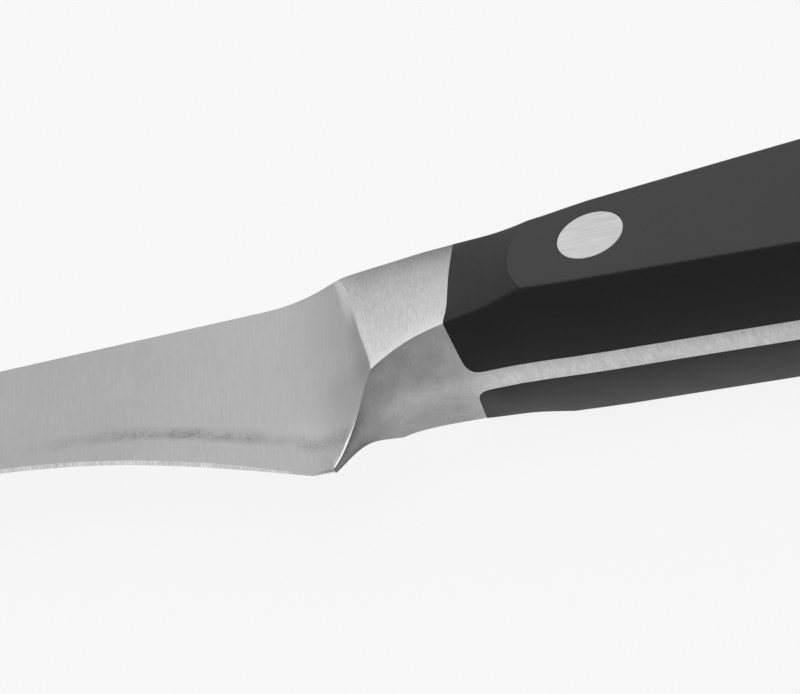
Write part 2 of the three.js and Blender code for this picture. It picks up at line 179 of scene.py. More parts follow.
@dataclass(frozen=True)
class Rail:
    """A smooth line through a few (place, value) knots that never swings past them."""

    knots: tuple[tuple[float, float], ...]

    @cached_property
    def places(self) -> list[float]:
        """Places of the knots."""
        return [place for place, _ in self.knots]

    @cached_property
    def slopes(self) -> list[float]:
        """Slope at each knot, level where the line turns."""
        pairs = list(zip(self.knots, self.knots[1:]))
        chords = [(b[1] - a[1]) / (b[0] - a[0]) for a, b in pairs]
        inner = [2 * p * q / (p + q) if p * q > 0 else 0.0 for p, q in zip(chords, chords[1:])]
        return [chords[0], *inner, chords[-1]]

    def __call__(self, place: float) -> float:
        """Value at a place, which stays level beyond the end knots.

        Args:
            place: the place.

        Returns:
            The value.
        """
        i = min(max(bisect(self.places, place) - 1, 0), len(self.knots) - 2)
        (x0, v0), (x1, v1) = self.knots[i : i + 2]
        span = x1 - x0
        t = min(1.0, max(0.0, (place - x0) / span))
        rise = t * t * (3 - 2 * t)
        lead = t * (1 - t) * (1 - t) * self.slopes[i]
        trail = t * t * (t - 1) * self.slopes[i + 1]
        return v0 + (v1 - v0) * rise + span * (lead + trail)


@dataclass(frozen=True)
class Sweep:
    """A plane Bezier curve whose x rises along it."""

    points: tuple[tuple[float, float], ...]

    def at(self, share: float) -> tuple[float, float]:
        """Point at a share of the curve.

        Args:
            share: share of the way along it.

        Returns:
            The point.
        """
        points = list(self.points)
        while len(points) > 1:
            pairs = zip(points, points[1:])
            points = [(lerp(a[0], b[0], share), lerp(a[1], b[1], share)) for a, b in pairs]
        return points[0]

    @cached_property
    def height(self) -> Rail:
        """Height of the curve by x."""
        return Rail(tuple(self.at(share) for share in divide(0.0, 1.0, CURVE_STEPS)))


def bend(start: Vector, corner: Vector, end: Vector, share: float) -> Vector:
    """Point on the curve that rounds a corner between two points."""
    return start.lerp(corner, share).lerp(corner.lerp(end, share), share)


# The two forms that the knife is ground to


@dataclass(frozen=True)
class GripForm:
    """Bolster, tang and scales, which are ground together."""

    spine_height: float = 9.03
    heel_depth: float = 17.47
    ridge_setback: float = 14.4
    ridge_half: float = 3.21
    knuckle_setback: float = 8.5
    knuckle_half: float = 4.76
    cheek_setback: float = 3.3
    cheek_half: float = 6.1
    neck_half: float = 6.69
    guard_setback: float = 12.9
    guard_steep: float = 3.66
    guard_lean: float = 2.52
    guard_turn: float = 11.4
    back_setback: float = 4.8
    back_rise: float = 0.16
    bolster_crown: float = 0.3
    length: float = 112.0
    side_half: float = 8.63
    tang_half: float = 1.215
    flat_setback: float = 8.9
    flat_run: float = 4.4
    neck_swell: float = 0.72
    neck_crown: float = 0.55
    neck_run: float = 3.8
    neck_belly: float = 8.74
    neck_drop: float = 0.26
    waist_setback: float = 7.5
    waist_drop: float = 0.67
    rivet_front: float = 15.8
    rivet_rear: float = 28.2
    rivet_belly: float = 9.72
    rivet_rise: float = 0.52
    palm_setback: float = 64.0
    palm_belly: float = 12.6
    palm_rise: float = 3.985
    butt_belly: float = 13.0
    butt_rise: float = 2.0
    butt_back_radius: float = 10.0
    butt_belly_radius: float = 5.0
    butt_side_radius: float = 4.5
    belly_slope: float = 0.42
    back_slope: float = 0.5
    shoulder_slope: float = 0.19
    shoulder_fillet: float = 1.5
    stock: float = 1.2
    flat_softness: float = 0.03
    butt_softness: float = 0.5
    chamfer_crown: float = 0.28
    crown_run: float = 4.0
    butt_run: float = 3.0
    # How far the rim of the shoulder bulges back, by share of the side face's height
    rim_bulge: Rail = Rail((
        (0.0, 0.0), (0.06, 0.14), (0.11, 0.29), (0.19, 0.36), (0.37, 0.27), (0.57, 0.15), (0.88, 0.12),
        (1.0, 0.0),
    ))

    @cached_property
    def guard(self) -> Sweep:
        """Finger guard and its turn into the neck, from the foot of the guard."""
        foot = (-self.guard_setback, -self.heel_depth)
        steep = (self.guard_lean - self.guard_setback, self.guard_steep - self.heel_depth)
        return Sweep((foot, steep, (-self.guard_turn, -self.neck_belly), (0.0, -self.neck_belly)))

    @cached_property
    def belly_line(self) -> Rail:
        """Belly behind the shoulder."""
        return Rail((
            (0.0, -self.neck_belly),
            (self.neck_run, -self.neck_belly),
            (self.rivet_front, -self.rivet_belly),
            (self.palm_setback, -self.palm_belly),
            (self.length - self.butt_belly_radius, -self.butt_belly),
            (self.length, -self.butt_belly),
        ))

    @cached_property
    def back_line(self) -> Rail:
        """Back of bolster and handle."""
        spine = self.spine_height
        return Rail((
            (-self.ridge_setback, spine + self.stock),
            (-self.back_setback, spine + self.back_rise),
            (0.0, spine - self.neck_drop),
            (self.waist_setback, spine - self.waist_drop),
            (self.rivet_front, spine + self.rivet_rise),
            (self.palm_setback, spine + self.palm_rise),
            (self.length - self.butt_back_radius, spine + self.butt_rise),
            (self.length, spine + self.butt_rise),
        ))

    @cached_property
    def side_line(self) -> Rail:
        """Half thickness at the edges of the side faces, before the flats are ground."""
        return Rail((
            (-self.ridge_setback, self.ridge_half),
            (-self.knuckle_setback, self.knuckle_half),
            (-self.cheek_setback, self.cheek_half),
            (0.0, self.neck_half),
            (self.flat_setback / 2, self.neck_half + self.neck_swell),
            (self.flat_setback, self.side_half),
            (self.flat_setback + self.flat_run, self.side_half + self.stock),
            (self.length, self.side_half + self.stock),
        ))

    @cached_property
    def crown_line(self) -> Rail:
        """Rise of the side faces between their edges."""
        butt = self.length - self.butt_back_radius
        return Rail((
            (0.0, self.bolster_crown),
            (self.flat_setback, self.neck_crown),
            (butt - self.butt_back_radius, self.neck_crown),
            (butt, 0.0),
        ))

    def butt_drop(self, x: float, radius: float) -> float:
        """Loss of height where a corner of this radius rounds the butt."""
        beyond = max(0.0, x - self.length + radius)
        return radius - math.sqrt(max(0.0, radius * radius - beyond * beyond))

    def belly(self, x: float) -> float:
        """Height of the belly, in the middle of the knife.

        Args:
            x: place along the knife.

        Returns:
            The height.
        """
        if x < 0:
            return self.guard.height(max(x, -self.guard_setback))
        return self.belly_line(x) + self.butt_drop(x, self.butt_belly_radius)

    def side(self, x: float) -> float:
        """Half thickness at the edges of a side face, before the flats are ground."""
        return self.side_line(x) - self.butt_drop(x, self.butt_side_radius)

    def run(self, z: float) -> float:
        """How far a chamfer has run from the middle, softened over the width of the tang."""
        return math.hypot(z, self.tang_half) - self.tang_half

    def under(self, x: float, z: float) -> float:
        """Underside, whose chamfers are crowned behind the shoulder.

        Args:
            x: place along the knife.
            z: distance from the middle of the tang.

        Returns:
            Its height.
        """
        height = self.belly(x) + self.run(z) * self.belly_slope
        if x <= 0 or z <= self.tang_half:
            return height
        width = min(self.side(x), self.side_half) - self.tang_half
        across = min(1.0, (z - self.tang_half) / width)
        crown = self.chamfer_crown * smoothstep(x, 0.0, self.crown_run)
        return height - 4 * crown * across * (1 - across)

    def back(self, x: float) -> float:
        """Height of the back, in the middle of the knife."""
        return self.back_line(x) - self.butt_drop(x, self.butt_back_radius)

    def over(self, x: float, z: float) -> float:
        """Height of the back, which the spine's own plane cuts ahead of the shoulder."""
        height = self.back(x) - self.run(z) * self.back_slope
        return min(height, self.spine_height) if x < 0 else height

    def face(self, x: float, y: float) -> float:
        """Crowned side face, before the flats are ground.

        Args:
            x: place along the knife.
            y: height.

        Returns:
            Its half thickness.
        """
        side = self.side(x)
        low = self.under(x, side)
        high = self.back(x) - self.run(side) * self.back_slope
        across = min(1.0, max(-1.0, 2 * (y - low) / (high - low) - 1)) ** 2
        steep = lerp(across * across, across, smoothstep(x, 0.0, self.flat_setback / 2))
        return side + self.crown_line(x) * (1 - steep)

    def flatten(self, x: float, half: float) -> float:
        """Half thickness cut down to the flat, with a soft edge at the butt.

        Args:
            x: place along the knife.
            half: the half thickness before.

        Returns:
            The half thickness after.
        """
        radius = self.butt_side_radius
        butt = smoothstep(x, self.length - self.butt_run * radius, self.length - radius)
        return soft_least(half, self.side_half, lerp(self.flat_softness, self.butt_softness, butt))

    def ground(self, x: float, y: float) -> float:
        """Half thickness of a side face with its flat."""
        return self.flatten(x, self.face(x, y))

    @cached_property
    def flat_start(self) -> Rail:
        """Place where the side flat begins, by height."""

        def start(y: float) -> float:
            """Place where it begins at one height."""
            return crossing(lambda x: self.face(x, y) - self.side_half, 0.0, self.flat_setback)

        heights = divide(-self.rivet_belly, self.spine_height, CURVE_STEPS)
        return Rail(tuple((y, start(y)) for y in heights))

    def plan(self, z: float, gap: float = 0.0) -> float:
        """Place of the shoulder, seen from above, at a distance z from the middle.

        Args:
            z: distance from the middle of the tang.
            gap: clearance that the scale keeps.

        Returns:
            x of the shoulder face or of the rounding between shoulder and tang.
        """
        inner = self.tang_half + gap
        rounded = inner + self.shoulder_fillet

        def plane(distance: float) -> float:
            """Place of the plain shoulder face."""
            return (self.neck_half - distance) * self.shoulder_slope + gap

        if z >= rounded:
            return plane(z)
        rest = math.sqrt(max(0.0, (z - inner) / self.shoulder_fillet))
        edge = Vector((plane(rounded), 0))
        corner = Vector((plane(inner), 0))
        end = Vector((plane(inner) + self.shoulder_fillet, 0))
        return bend(edge, corner, end, 1 - rest).x

    def rim(self, y: float, gap: float = 0.0) -> float:
        """Rim of the shoulder on a side face.

        Args:
            y: height.
            gap: clearance that the scale keeps.

        Returns:
            Its place along the knife.
        """
        low = self.under(0.0, self.neck_half)
        high = self.over(0.0, self.neck_half)
        return self.plan(self.face(0.0, y), gap) + self.rim_bulge((y - low) / (high - low))

    def plan_width(self, share: float, gap: float = 0.0) -> float:
        """Distance from the middle along the shoulder.

        Args:
            share: share of the way from the tang outwards, of which half is the rounding.
            gap: clearance that the scale keeps.

        Returns:
            The distance.
        """
        inner = self.tang_half + gap
        rounded = inner + self.shoulder_fillet
        if share < 0.5:
            return inner + self.shoulder_fillet * (2 * share) ** 2
        return lerp(rounded, self.neck_half, 2 * share - 1)


@dataclass(frozen=True)
class BladeForm:
    """Blade with the hollow that rises to the ridge of the bolster."""

    length: float = 250.0
    spine: float = 9.03
    heel_height: float = 26.5
    waist_height: float = 15.2
    fore_height: float = 13.4
    heel_sweep: float = 47.0
    heel_run: float = 16.0
    heel_grade: float = 0.4
    waist_run: float = 19.0
    point_sweep: float = 46.0
    point_drop: float = 3.4
    point_height: float = 0.6
    point_run: float = 20.0
    nose_run: float = 6.0
    nose_depth: float = 5.0
    spine_half: float = 1.1
    fore_half: float = 0.6
    edge_half: float = 0.18
    edge_bevel: float = 0.5
    heel_bevel: float = 0.15
    bevel_runout: float = 12.0
    heel_x: float = -15.3
    knuckle_depth: float = 8.6
    hollow_radius: float = 19.6
    hollow_spine: float = 23.5
    hollow_upper: float = 23.25
    hollow_middle: float = 22.86
    hollow_knuckle: float = 21.28
    hollow_guard: float = 17.48
    hollow_heel: float = 15.54

    @property
    def point_x(self) -> float:
        """Place of the point."""
        return self.heel_x - self.length

    @property
    def waist_x(self) -> float:
        """Place where the heel sweep ends."""
        return self.heel_x - self.heel_sweep

    @property
    def fore_x(self) -> float:
        """Place where the point begins."""
        return self.point_x + self.point_sweep

    @property
    def fore_taper(self) -> float:
        """Slope of the edge between waist and point."""
        return (self.waist_height - self.fore_height) / (self.waist_x - self.fore_x)

    @cached_property
    def heel_edge(self) -> Sweep:
        """Edge from the waist down to the heel."""
        heel = self.spine - self.heel_height
        waist = self.spine - self.waist_height
        return Sweep((
            (self.waist_x, waist),
            (self.waist_x + self.waist_run, waist - self.waist_run * self.fore_taper),
            (self.heel_x - self.heel_run, heel + self.heel_run * self.heel_grade),
            (self.heel_x, heel),
        ))

    @cached_property
    def point_edge(self) -> Sweep:
        """Edge from the point back to the plain blade."""
        point = self.spine - self.point_drop
        fore = self.spine - self.fore_height
        return Sweep((
            (self.point_x, point - self.point_height),
            (self.point_x + self.nose_run, point - self.nose_depth),
            (self.fore_x - self.point_run, fore + self.point_run * self.fore_taper),
            (self.fore_x, fore),
        ))

    @cached_property
    def point_spine(self) -> Sweep:
        """Spine from the point back to the plain blade."""
        return Sweep((
            (self.point_x, self.spine - self.point_drop),
            (self.fore_x - self.point_run, self.spine),
            (self.fore_x, self.spine),
        ))

    @cached_property
    def hollow_start(self) -> Rail:
        """Place where the hollow begins, by height."""
        heel = self.spine - self.heel_height
        return Rail((
            (heel, -self.hollow_heel),
            ((heel - self.knuckle_depth) / 2, -self.hollow_guard),
            (-self.knuckle_depth, -self.hollow_knuckle),
            (0.0, -self.hollow_middle),
            (self.spine / 2, -self.hollow_upper),
            (self.spine, -self.hollow_spine),
        ))

    def edge(self, x: float) -> float:
        """Height of the cutting edge.

        Args:
            x: place along the knife.

        Returns:
            The height.
        """
        if x > self.heel_x:
            return self.spine - self.heel_height
        if x > self.waist_x:
            return self.heel_edge.height(x)
        if x < self.fore_x:
            return self.point_edge.height(x)
        return self.spine - self.waist_height + (self.waist_x - x) * self.fore_taper

    def top(self, x: float) -> float:
        """Height of the spine."""
        return self.point_spine.height(x) if x < self.fore_x else self.spine

    def bevel(self, x: float) -> float:
        """Height of the sharpened bevel.

        Args:
            x: place along the knife.

        Returns:
            The height.
        """
        sharpened = smoothstep(self.heel_x - x, 0.0, self.bevel_runout)
        height = lerp(self.heel_bevel, self.edge_bevel, sharpened)
        return min(height, (self.top(x) - self.edge(x)) / 2)

    def half(self, x: float, y: float) -> float:
        """Blade with its hollow.

        Args:
            x: place along the knife.
            y: height.

        Returns:
            Its half thickness.
        """
        along = min(1.0, max(0.0, (self.heel_x - x) / self.length))
        edge = self.edge(x)
        up = min(1.0, max(0.0, (y - edge) / (self.top(x) - edge)))
        flat = lerp(self.edge_half, lerp(self.spine_half, self.fore_half, along), up)
        into = max(0.0, x - self.hollow_start(y))
        return flat + into * into / (2 * self.hollow_radius)


# Meshes


@dataclass(frozen=True)
class Rows:
    """Numbers of mesh steps round one half of the knife, from belly to back."""

    strip: int = 5
    flank: int = 12
    corner: int = 4
    face: int = 22
    top_flank: int = 8
    top_strip: int = 4

    @property
    def low_corner(self) -> range:
        """Strips of the corner between underside and side face."""
        start = self.strip + self.flank
        return range(start, start + self.corner)

    @property
    def side(self) -> range:
        """Strips of the side face, with its upper corner."""
        start = self.low_corner.stop
        return range(start, start + self.face + self.corner)

    @property
    def chain(self) -> range:
        """Rows from the tang's lower edge to its upper edge."""
        count = self.flank + self.corner + self.face + self.corner + self.top_flank
        return range(self.strip, self.strip + count + 1)


ROWS = Rows()


@dataclass(frozen=True)
class Station:
    """One line of the mesh across the left side: underside, side face and back.

    The underside runs from the middle of the belly to its outer corner, with the lower edge of the
    tang half way. The back runs from its outer corner to the middle, in the same way.
    """

    under: Curve
    face: Curve
    over: Curve
    low_radius: float
    high_radius: float
    low_share: float = 1.0
    flat_corner: bool = False

    def points(self) -> list[Vector]:
        """Points from the belly to the back, with both corners rounded.

        Returns:
            The points.
        """
        low_under = 1 - self.cut(self.under, 0.5, 1.0, self.low_radius * self.low_share) / 2
        low_face = self.cut(self.face, 0.0, 1.0, self.low_radius)
        high_face = 1 - self.cut(self.face, 0.0, 1.0, self.high_radius)
        high_over = self.cut(self.over, 0.0, 0.5, self.high_radius) / 2
        return [
            *map(self.under, divide(0.0, 0.5, ROWS.strip)[:-1]),
            *map(self.under, divide(0.5, low_under, ROWS.flank)),
            *self.round(self.under(low_under), self.face(0.0), self.face(low_face), self.flat_corner),
            *map(self.face, divide(low_face, high_face, ROWS.face)),
            *self.round(self.face(high_face), self.face(1.0), self.over(high_over)),
            *map(self.over, divide(high_over, 0.5, ROWS.top_flank)),
            *map(self.over, divide(0.5, 1.0, ROWS.top_strip)[1:]),
        ]

    @staticmethod
    def cut(curve: Curve, start: float, end: float, radius: float) -> float:
        """Share of a stretch of a curve that a corner takes, at most half of it."""
        stretch = (curve(end) - curve(start)).length
        return min(0.5, radius / max(stretch, radius))

    @staticmethod
    def round(start: Vector, corner: Vector, end: Vector, flat: bool = False) -> list[Vector]:
        """Points of a rounded or flat corner, without its ends."""
        turn = start.lerp(end, 0.5) if flat else corner
        return [bend(start, turn, end, i / ROWS.corner) for i in range(1, ROWS.corner)]


def skin(
    stations: Sequence[Sequence[Vector]], finish: Callable[[int, int], int] | None = None
) -> Mesh:
    """Stretch a grid over lines of points.

    Args:
        stations: lines of points, all with the same number of points.
        finish: gives the material index of a face from the numbers of its line and its row.

    Returns:
        A mesh with one strip of faces between every two lines.
    """
    bm = bmesh.new()
    across = len(stations[0]) - 1
    along = len(stations) - 1
    made = bmesh.ops.create_grid(bm, x_segments=across, y_segments=along, size=1.0)
    for i, vert in enumerate(made["verts"]):
        vert.co = stations[i // (across + 1)][i % (across + 1)]
    bm.verts.index_update()
    for face in bm.faces if finish else ():
        first = min(vert.index for vert in face.verts)
        face.material_index = finish(*divmod(first, across + 1))
    return bm


def close(bm: Mesh) -> None:
    """Merge doubled points, fill the open ends and turn the faces outwards.

    Args:
        bm: the mesh.
    """
    bmesh.ops.remove_doubles(bm, verts=bm.verts, dist=MERGE_DISTANCE)
    bmesh.ops.dissolve_degenerate(bm, edges=bm.edges, dist=MERGE_DISTANCE)
    bmesh.ops.holes_fill(bm, edges=[edge for edge in bm.edges if edge.is_boundary])
    bmesh.ops.recalc_face_normals(bm, faces=bm.faces)


def arrange(
    things: bmesh.types.BMVertSeq | bmesh.types.BMFaceSeq, key: Callable[[object], Sequence[float]]
) -> None:
    """Store points or faces in the order of a key.

    Args:
        things: the points or the faces of a mesh.
        key: gives the key of one of them.
    """
    ranks = {thing: rank for rank, thing in enumerate(sorted(things, key=key))}
    things.sort(key=lambda thing: ranks[thing])
    things.index_update()


def lay_uv(bm: Mesh, turned: bool = False) -> None:
    """Lay a flat UV map, in metres, on each face from the side that it faces.

    Args:
        bm: the mesh, already in metres.
        turned: whether U runs along Y and not along X.
    """
    layer = bm.loops.layers.uv.new("grind")
    for face in bm.faces:
        sideways = abs(face.normal.z) > abs(face.normal.y)
        for loop in face.loops:
            x, y, z = loop.vert.co
            first, second = (y, x) if turned else (x, y if sideways else z)
            loop[layer].uv = (first, second)


def to_data(name: str, bm: Mesh) -> bpy.types.Mesh:
    """Turn a mesh into mesh data, using it up.

    Args:
        name: name of the data.
        bm: the mesh.

    Returns:
        The data.
    """
    data = bpy.data.meshes.new(name)
    bm.to_mesh(data)
    bm.free()
    return data


def add_object(name: str, data: bpy.types.ID) -> Piece:
    """Put an object into the scene.

    Args:
        name: name of the object.
        data: its mesh data or camera.

    Returns:
        The object, at the origin.
    """
    made = bpy.data.objects.new(name, data)
    bpy.context.scene.collection.objects.link(made)
    return made


def drill(piece: Piece, bars: Iterable[Mesh], matrix: Matrix) -> None:
    """Cut bars out of a piece.

    Args:
        piece: the piece to cut.
        bars: the bars, in the knife's frame, which are used up.
        matrix: matrix from the knife's frame to the piece's.
    """
    cutter = joined(bars)
    bmesh.ops.transform(cutter, matrix=matrix, verts=cutter.verts)
    bmesh.ops.recalc_face_normals(cutter, faces=cutter.faces)
    mesh = to_data("cutter", cutter)
    tool = add_object("cutter", mesh)
    modifier = piece.modifiers.new("holes", "BOOLEAN")
    modifier.object = tool
    modifier.operation = "DIFFERENCE"
    modifier.solver = "EXACT"
    depsgraph = bpy.context.evaluated_depsgraph_get()
    cut = bpy.data.meshes.new_from_object(piece.evaluated_get(depsgraph))
    piece.modifiers.clear()
    old = piece.data
    piece.data = cut
    bpy.data.objects.remove(tool)
    for used in (old, mesh):
        bpy.data.meshes.remove(used)


def shade(piece: Piece, angle: float) -> None:
    """Shade a piece smoothly, apart from edges sharper than an angle in degrees.

    Args:
        piece: the piece.
        angle: the angle.
    """
    piece.data.polygons.foreach_set("use_smooth", [True] * len(piece.data.polygons))
    piece.data.set_sharp_from_angle(angle=math.radians(angle))
    even = piece.modifiers.new("even_normals", "WEIGHTED_NORMAL")
    even.keep_sharp = True


@dataclass(frozen=True)
class Place:
    """Where the knife's own frame lies in the frame of the solids."""

    origin: Vector

    @classmethod
    def from_frame(cls, grip: GripForm) -> "Place":
        """Find the knife's frame from the head of its front rivet.

        Args:
            grip: the form of the grip.

        Returns:
            The place of the knife's frame.
        """
        low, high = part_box("rivet_post_1")
        middle = (Vector(low) + Vector(high)) / 2
        floor, top = CAD_BOX
        height = (floor[2] + top[2]) / 2
        return cls(Vector((middle.x - grip.rivet_front * MM, middle.y, height)))

    @property
    def matrix(self) -> Matrix:
        """Matrix from the knife's frame, in millimetres, to the solids' frame."""
        return Matrix.Translation(self.origin) @ Matrix.Scale(MM, 4)

    def point(self, x: float, y: float, z: float) -> Vector:
        """A point of the knife's frame in the solids' frame."""
        return self.matrix @ Vector((x, y, z))

    def piece(self, name: str, bm: Mesh, turned: bool = False) -> Piece:
        """Make an object of a mesh in the knife's frame.

        Args:
            name: name of the object.
            bm: its mesh, which is used up.
            turned: whether its ground lines run along X and not across it.

        Returns:
            The object, at the origin of the solids' frame.
        """
        bmesh.ops.transform(bm, matrix=self.matrix, verts=bm.verts)
        bm.normal_update()
        lay_uv(bm, turned)
        return add_object(name, to_data(name, bm))


def bar(x: float, radius: float, low: float, high: float, sides: int) -> Mesh:
    """A round bar along Z in the knife's frame.

    Args:
        x: place of its axis.
        radius: its radius.
        low: height of its lower end.
        high: height of its upper end.
        sides: number of sides.

    Returns:
        The bar's mesh.
    """
    bm = bmesh.new()
    middle = Matrix.Translation((x, 0, (low + high) / 2))
    bmesh.ops.create_cone(
        bm, cap_ends=True, segments=sides, radius1=radius, radius2=radius, depth=high - low, matrix=middle
    )
    return bm


def joined(meshes: Iterable[Mesh]) -> Mesh:
    """Put several meshes into one, using them up.

    Args:
        meshes: the meshes.

    Returns:
        The whole.
    """
    whole = bmesh.new()
    for bm in meshes:
        mesh = to_data("part", bm)
        whole.from_mesh(mesh)
        bpy.data.meshes.remove(mesh)
    return whole


# Materials


def linear(code: str) -> tuple[float, float, float]:
    """Linear colour of an sRGB hex code such as 'b8babc'.

    Args:
        code: the code.

    Returns:
        Red, green and blue.
    """
    shares = [int(code[i : i + 2], 16) / 255 for i in (0, 2, 4)]
    red, green, blue = [s / 12.92 if s <= 0.04045 else ((s + 0.055) / 1.055) ** 2.4 for s in shares]
    return (red, green, blue)


def add_node(tree: Tree, kind: str, inputs: Inputs | None = None, **settings: object) -> Socket | None:
    """Add a node to a tree with its settings and links.

    Args:
        tree: the node tree.
        kind: the node's type.
        inputs: values, or sockets to link from, by input.
        settings: the node's own settings, and "out" for the output to return in place of the first.

    Returns:
        The node's output, where it has one.
    """
    node = tree.nodes.new(kind)
    out = settings.pop("out", 0)
    for name, value in settings.items():
        setattr(node, name, value)
    for key, value in (inputs or {}).items():
        if isinstance(value, Socket):
            tree.links.new(value, node.inputs[key])
        else:
            node.inputs[key].default_value = value
    return node.outputs[out] if node.outputs else None


def new_tree(name: str) -> tuple[Material, Tree]:
    """An empty node material and its tree.

    Args:
        name: name of the material.

    Returns:
        The material and its tree.
    """
    material = bpy.data.materials.new(name)
    material.use_nodes = True
    material.node_tree.nodes.clear()
    return material, material.node_tree


def around(noise: Socket, middle: float, reach: float) -> Inputs:
    """Inputs that stretch a noise to a reach on both sides of a middle value."""
    ends = {"To Min": middle - reach, "To Max": middle + reach}
    return {"Value": noise, "From Min": NOISE_LOW, "From Max": NOISE_HIGH, **ends}


def soft_step(value: Socket, start: float, end: float, low: float = 0.0, high: float = 1.0) -> Inputs:
    """Inputs of a step between two levels over a stretch in millimetres."""
    return {"Value": value, "From Min": start * MM, "From Max": end * MM, "To Min": low, "To Max": high}


@dataclass(frozen=True)
class Grind:
    """Lines that a belt leaves, and the clouds of its uneven pressure. Sizes are in millimetres.

    Real belt lines are a few hundredths apart: they are drawn coarser, so that they show.
    """

    spacing: float
    length: float
    contrast: float
    depth: float
    cloud_size: float
    cloud_contrast: float
    along_x: bool = False
    lean: float = 0.0

    def lines(self, tree: Tree, place: Socket) -> Socket:
        """Draw a noise out to lines.

        Args:
            tree: the node tree.
            place: place on the object.

        Returns:
            The lines.
        """
        fine = 1 / (self.spacing * MM)
        long = 1 / (self.length * MM)
        scale = (long, fine, fine) if self.along_x else (fine, long, long)
        turn = (0.0, 0.0, -math.radians(self.lean))
        leaning = add_node(tree, "ShaderNodeMapping", {"Vector": place, "Rotation": turn})
        drawn = add_node(tree, "ShaderNodeMapping", {"Vector": leaning, "Scale": scale})
        noise = {"Vector": drawn, "Scale": 1.0, "Detail": 4.0, "Roughness": 0.7}
        return add_node(tree, "ShaderNodeTexNoise", noise)

    def clouds(self, tree: Tree, place: Socket) -> Socket:
        """Soft wide noise."""
        noise = {"Vector": place, "Scale": 1 / (self.cloud_size * MM), "Detail": 3.0, "Roughness": 0.55}
        return add_node(tree, "ShaderNodeTexNoise", noise)

    def tone(self, tree: Tree, lines: Socket, clouds: Socket) -> Socket:
        """Work out how far lines and clouds lighten or darken a colour.

        Args:
            tree: the node tree.
            lines: the lines.
            clouds: the clouds.

        Returns:
            The factor for the colour.
        """
        stretched = (around(lines, 1.0, self.contrast), around(clouds, 1.0, self.cloud_contrast))
        factors = [add_node(tree, "ShaderNodeMapRange", inputs) for inputs in stretched]
        return add_node(tree, "ShaderNodeMath", dict(enumerate(factors)), operation="MULTIPLY")

    def bump(self, tree: Tree, lines: Socket) -> Socket:
        """Normal with the lines cut into it."""
        cut = {"Height": lines, "Strength": 0.3, "Distance": self.depth * MM}
        return add_node(tree, "ShaderNodeBump", cut)


@dataclass(frozen=True)
class PaintedReflectionBand:
    """Painted reflection: a darker speckled band along the edge, ahead of the heel, that stands in for a
    dark reflection.

    In millimetres: low, middle and high are heights above the edge, fore to heel_end are places.
    """

    low: float = 3.2
    middle: float = 4.3
    high: float = 6.0
    fore: float = 22.0
    full: float = 45.0
    late: float = 50.0
    heel_start: float = 56.0
    end: float = 58.0
    heel: float = 61.0
    heel_end: float = 63.0
    fore_dip: float = 1.9
    heel_dip: float = 0.7
    late_level: float = 0.4
    heel_level: float = 0.25
    depth: float = 0.3
    speck: float = 0.16
    heel_speck: float = 0.27
    blotch: float = 2.2
    speck_range: tuple[float, float] = (0.85, 0.8)
    blotch_range: tuple[float, float] = (1.0, 0.6)

    def factor(self, tree: Tree, place: Socket, tone: Socket) -> Socket:
        """Darken a tone by the painted reflection band.

        Args:
            tree: the node tree.
            place: place on the object.
            tone: the tone without it.

        Returns:
            The tone with it.
        """
        rise = add_node(tree, "ShaderNodeAttribute", attribute_name="edge_rise", out="Fac")
        x = add_node(tree, "ShaderNodeSeparateXYZ", {0: place}, out="X")
        steps = (
            soft_step(x, self.fore, self.full, self.fore_dip * MM, 0.0),
            soft_step(x, self.end, self.heel_end, 0.0, self.heel_dip * MM),
            soft_step(x, self.late, self.end, 1.0, self.late_level),
            soft_step(x, self.heel_start, self.heel),
            soft_step(x, self.fore, self.full),
        )
        fore_dip, heel_dip, fade, heel, fore = [
            add_node(tree, "ShaderNodeMapRange", inputs, interpolation_type="SMOOTHSTEP")
            for inputs in steps
        ]
        for dip in (fore_dip, heel_dip):
            rise = add_node(tree, "ShaderNodeMath", {0: rise, 1: dip}, operation="ADD")
        steps = (soft_step(rise, self.low, self.middle), soft_step(rise, self.high, self.middle))
        band = [
            add_node(tree, "ShaderNodeMapRange", inputs, interpolation_type="SMOOTHSTEP")
            for inputs in steps
        ]
        fine, coarse, blotches = [
            add_node(tree, "ShaderNodeTexNoise", {"Vector": place, "Scale": 1 / (size * MM), "Detail": 2.0})
            for size in (self.speck, self.heel_speck, self.blotch)
        ]
        specks = add_node(tree, "ShaderNodeMix", {"Factor": heel, "A": fine, "B": coarse})
        again = {0: heel, 1: self.heel_level, 2: fade}
        level = add_node(tree, "ShaderNodeMath", again, operation="MULTIPLY_ADD")
        stretched = (around(specks, *self.speck_range), around(blotches, *self.blotch_range))
        grains = [add_node(tree, "ShaderNodeMapRange", inputs) for inputs in stretched]
        loss = -self.depth
        for part in (*band, fore, level, *grains):
            loss = add_node(tree, "ShaderNodeMath", {0: part, 1: loss}, operation="MULTIPLY")
        rest = add_node(tree, "ShaderNodeMath", {0: loss, 1: 1.0}, operation="ADD")
        return add_node(tree, "ShaderNodeMath", {0: tone, 1: rest}, operation="MULTIPLY")


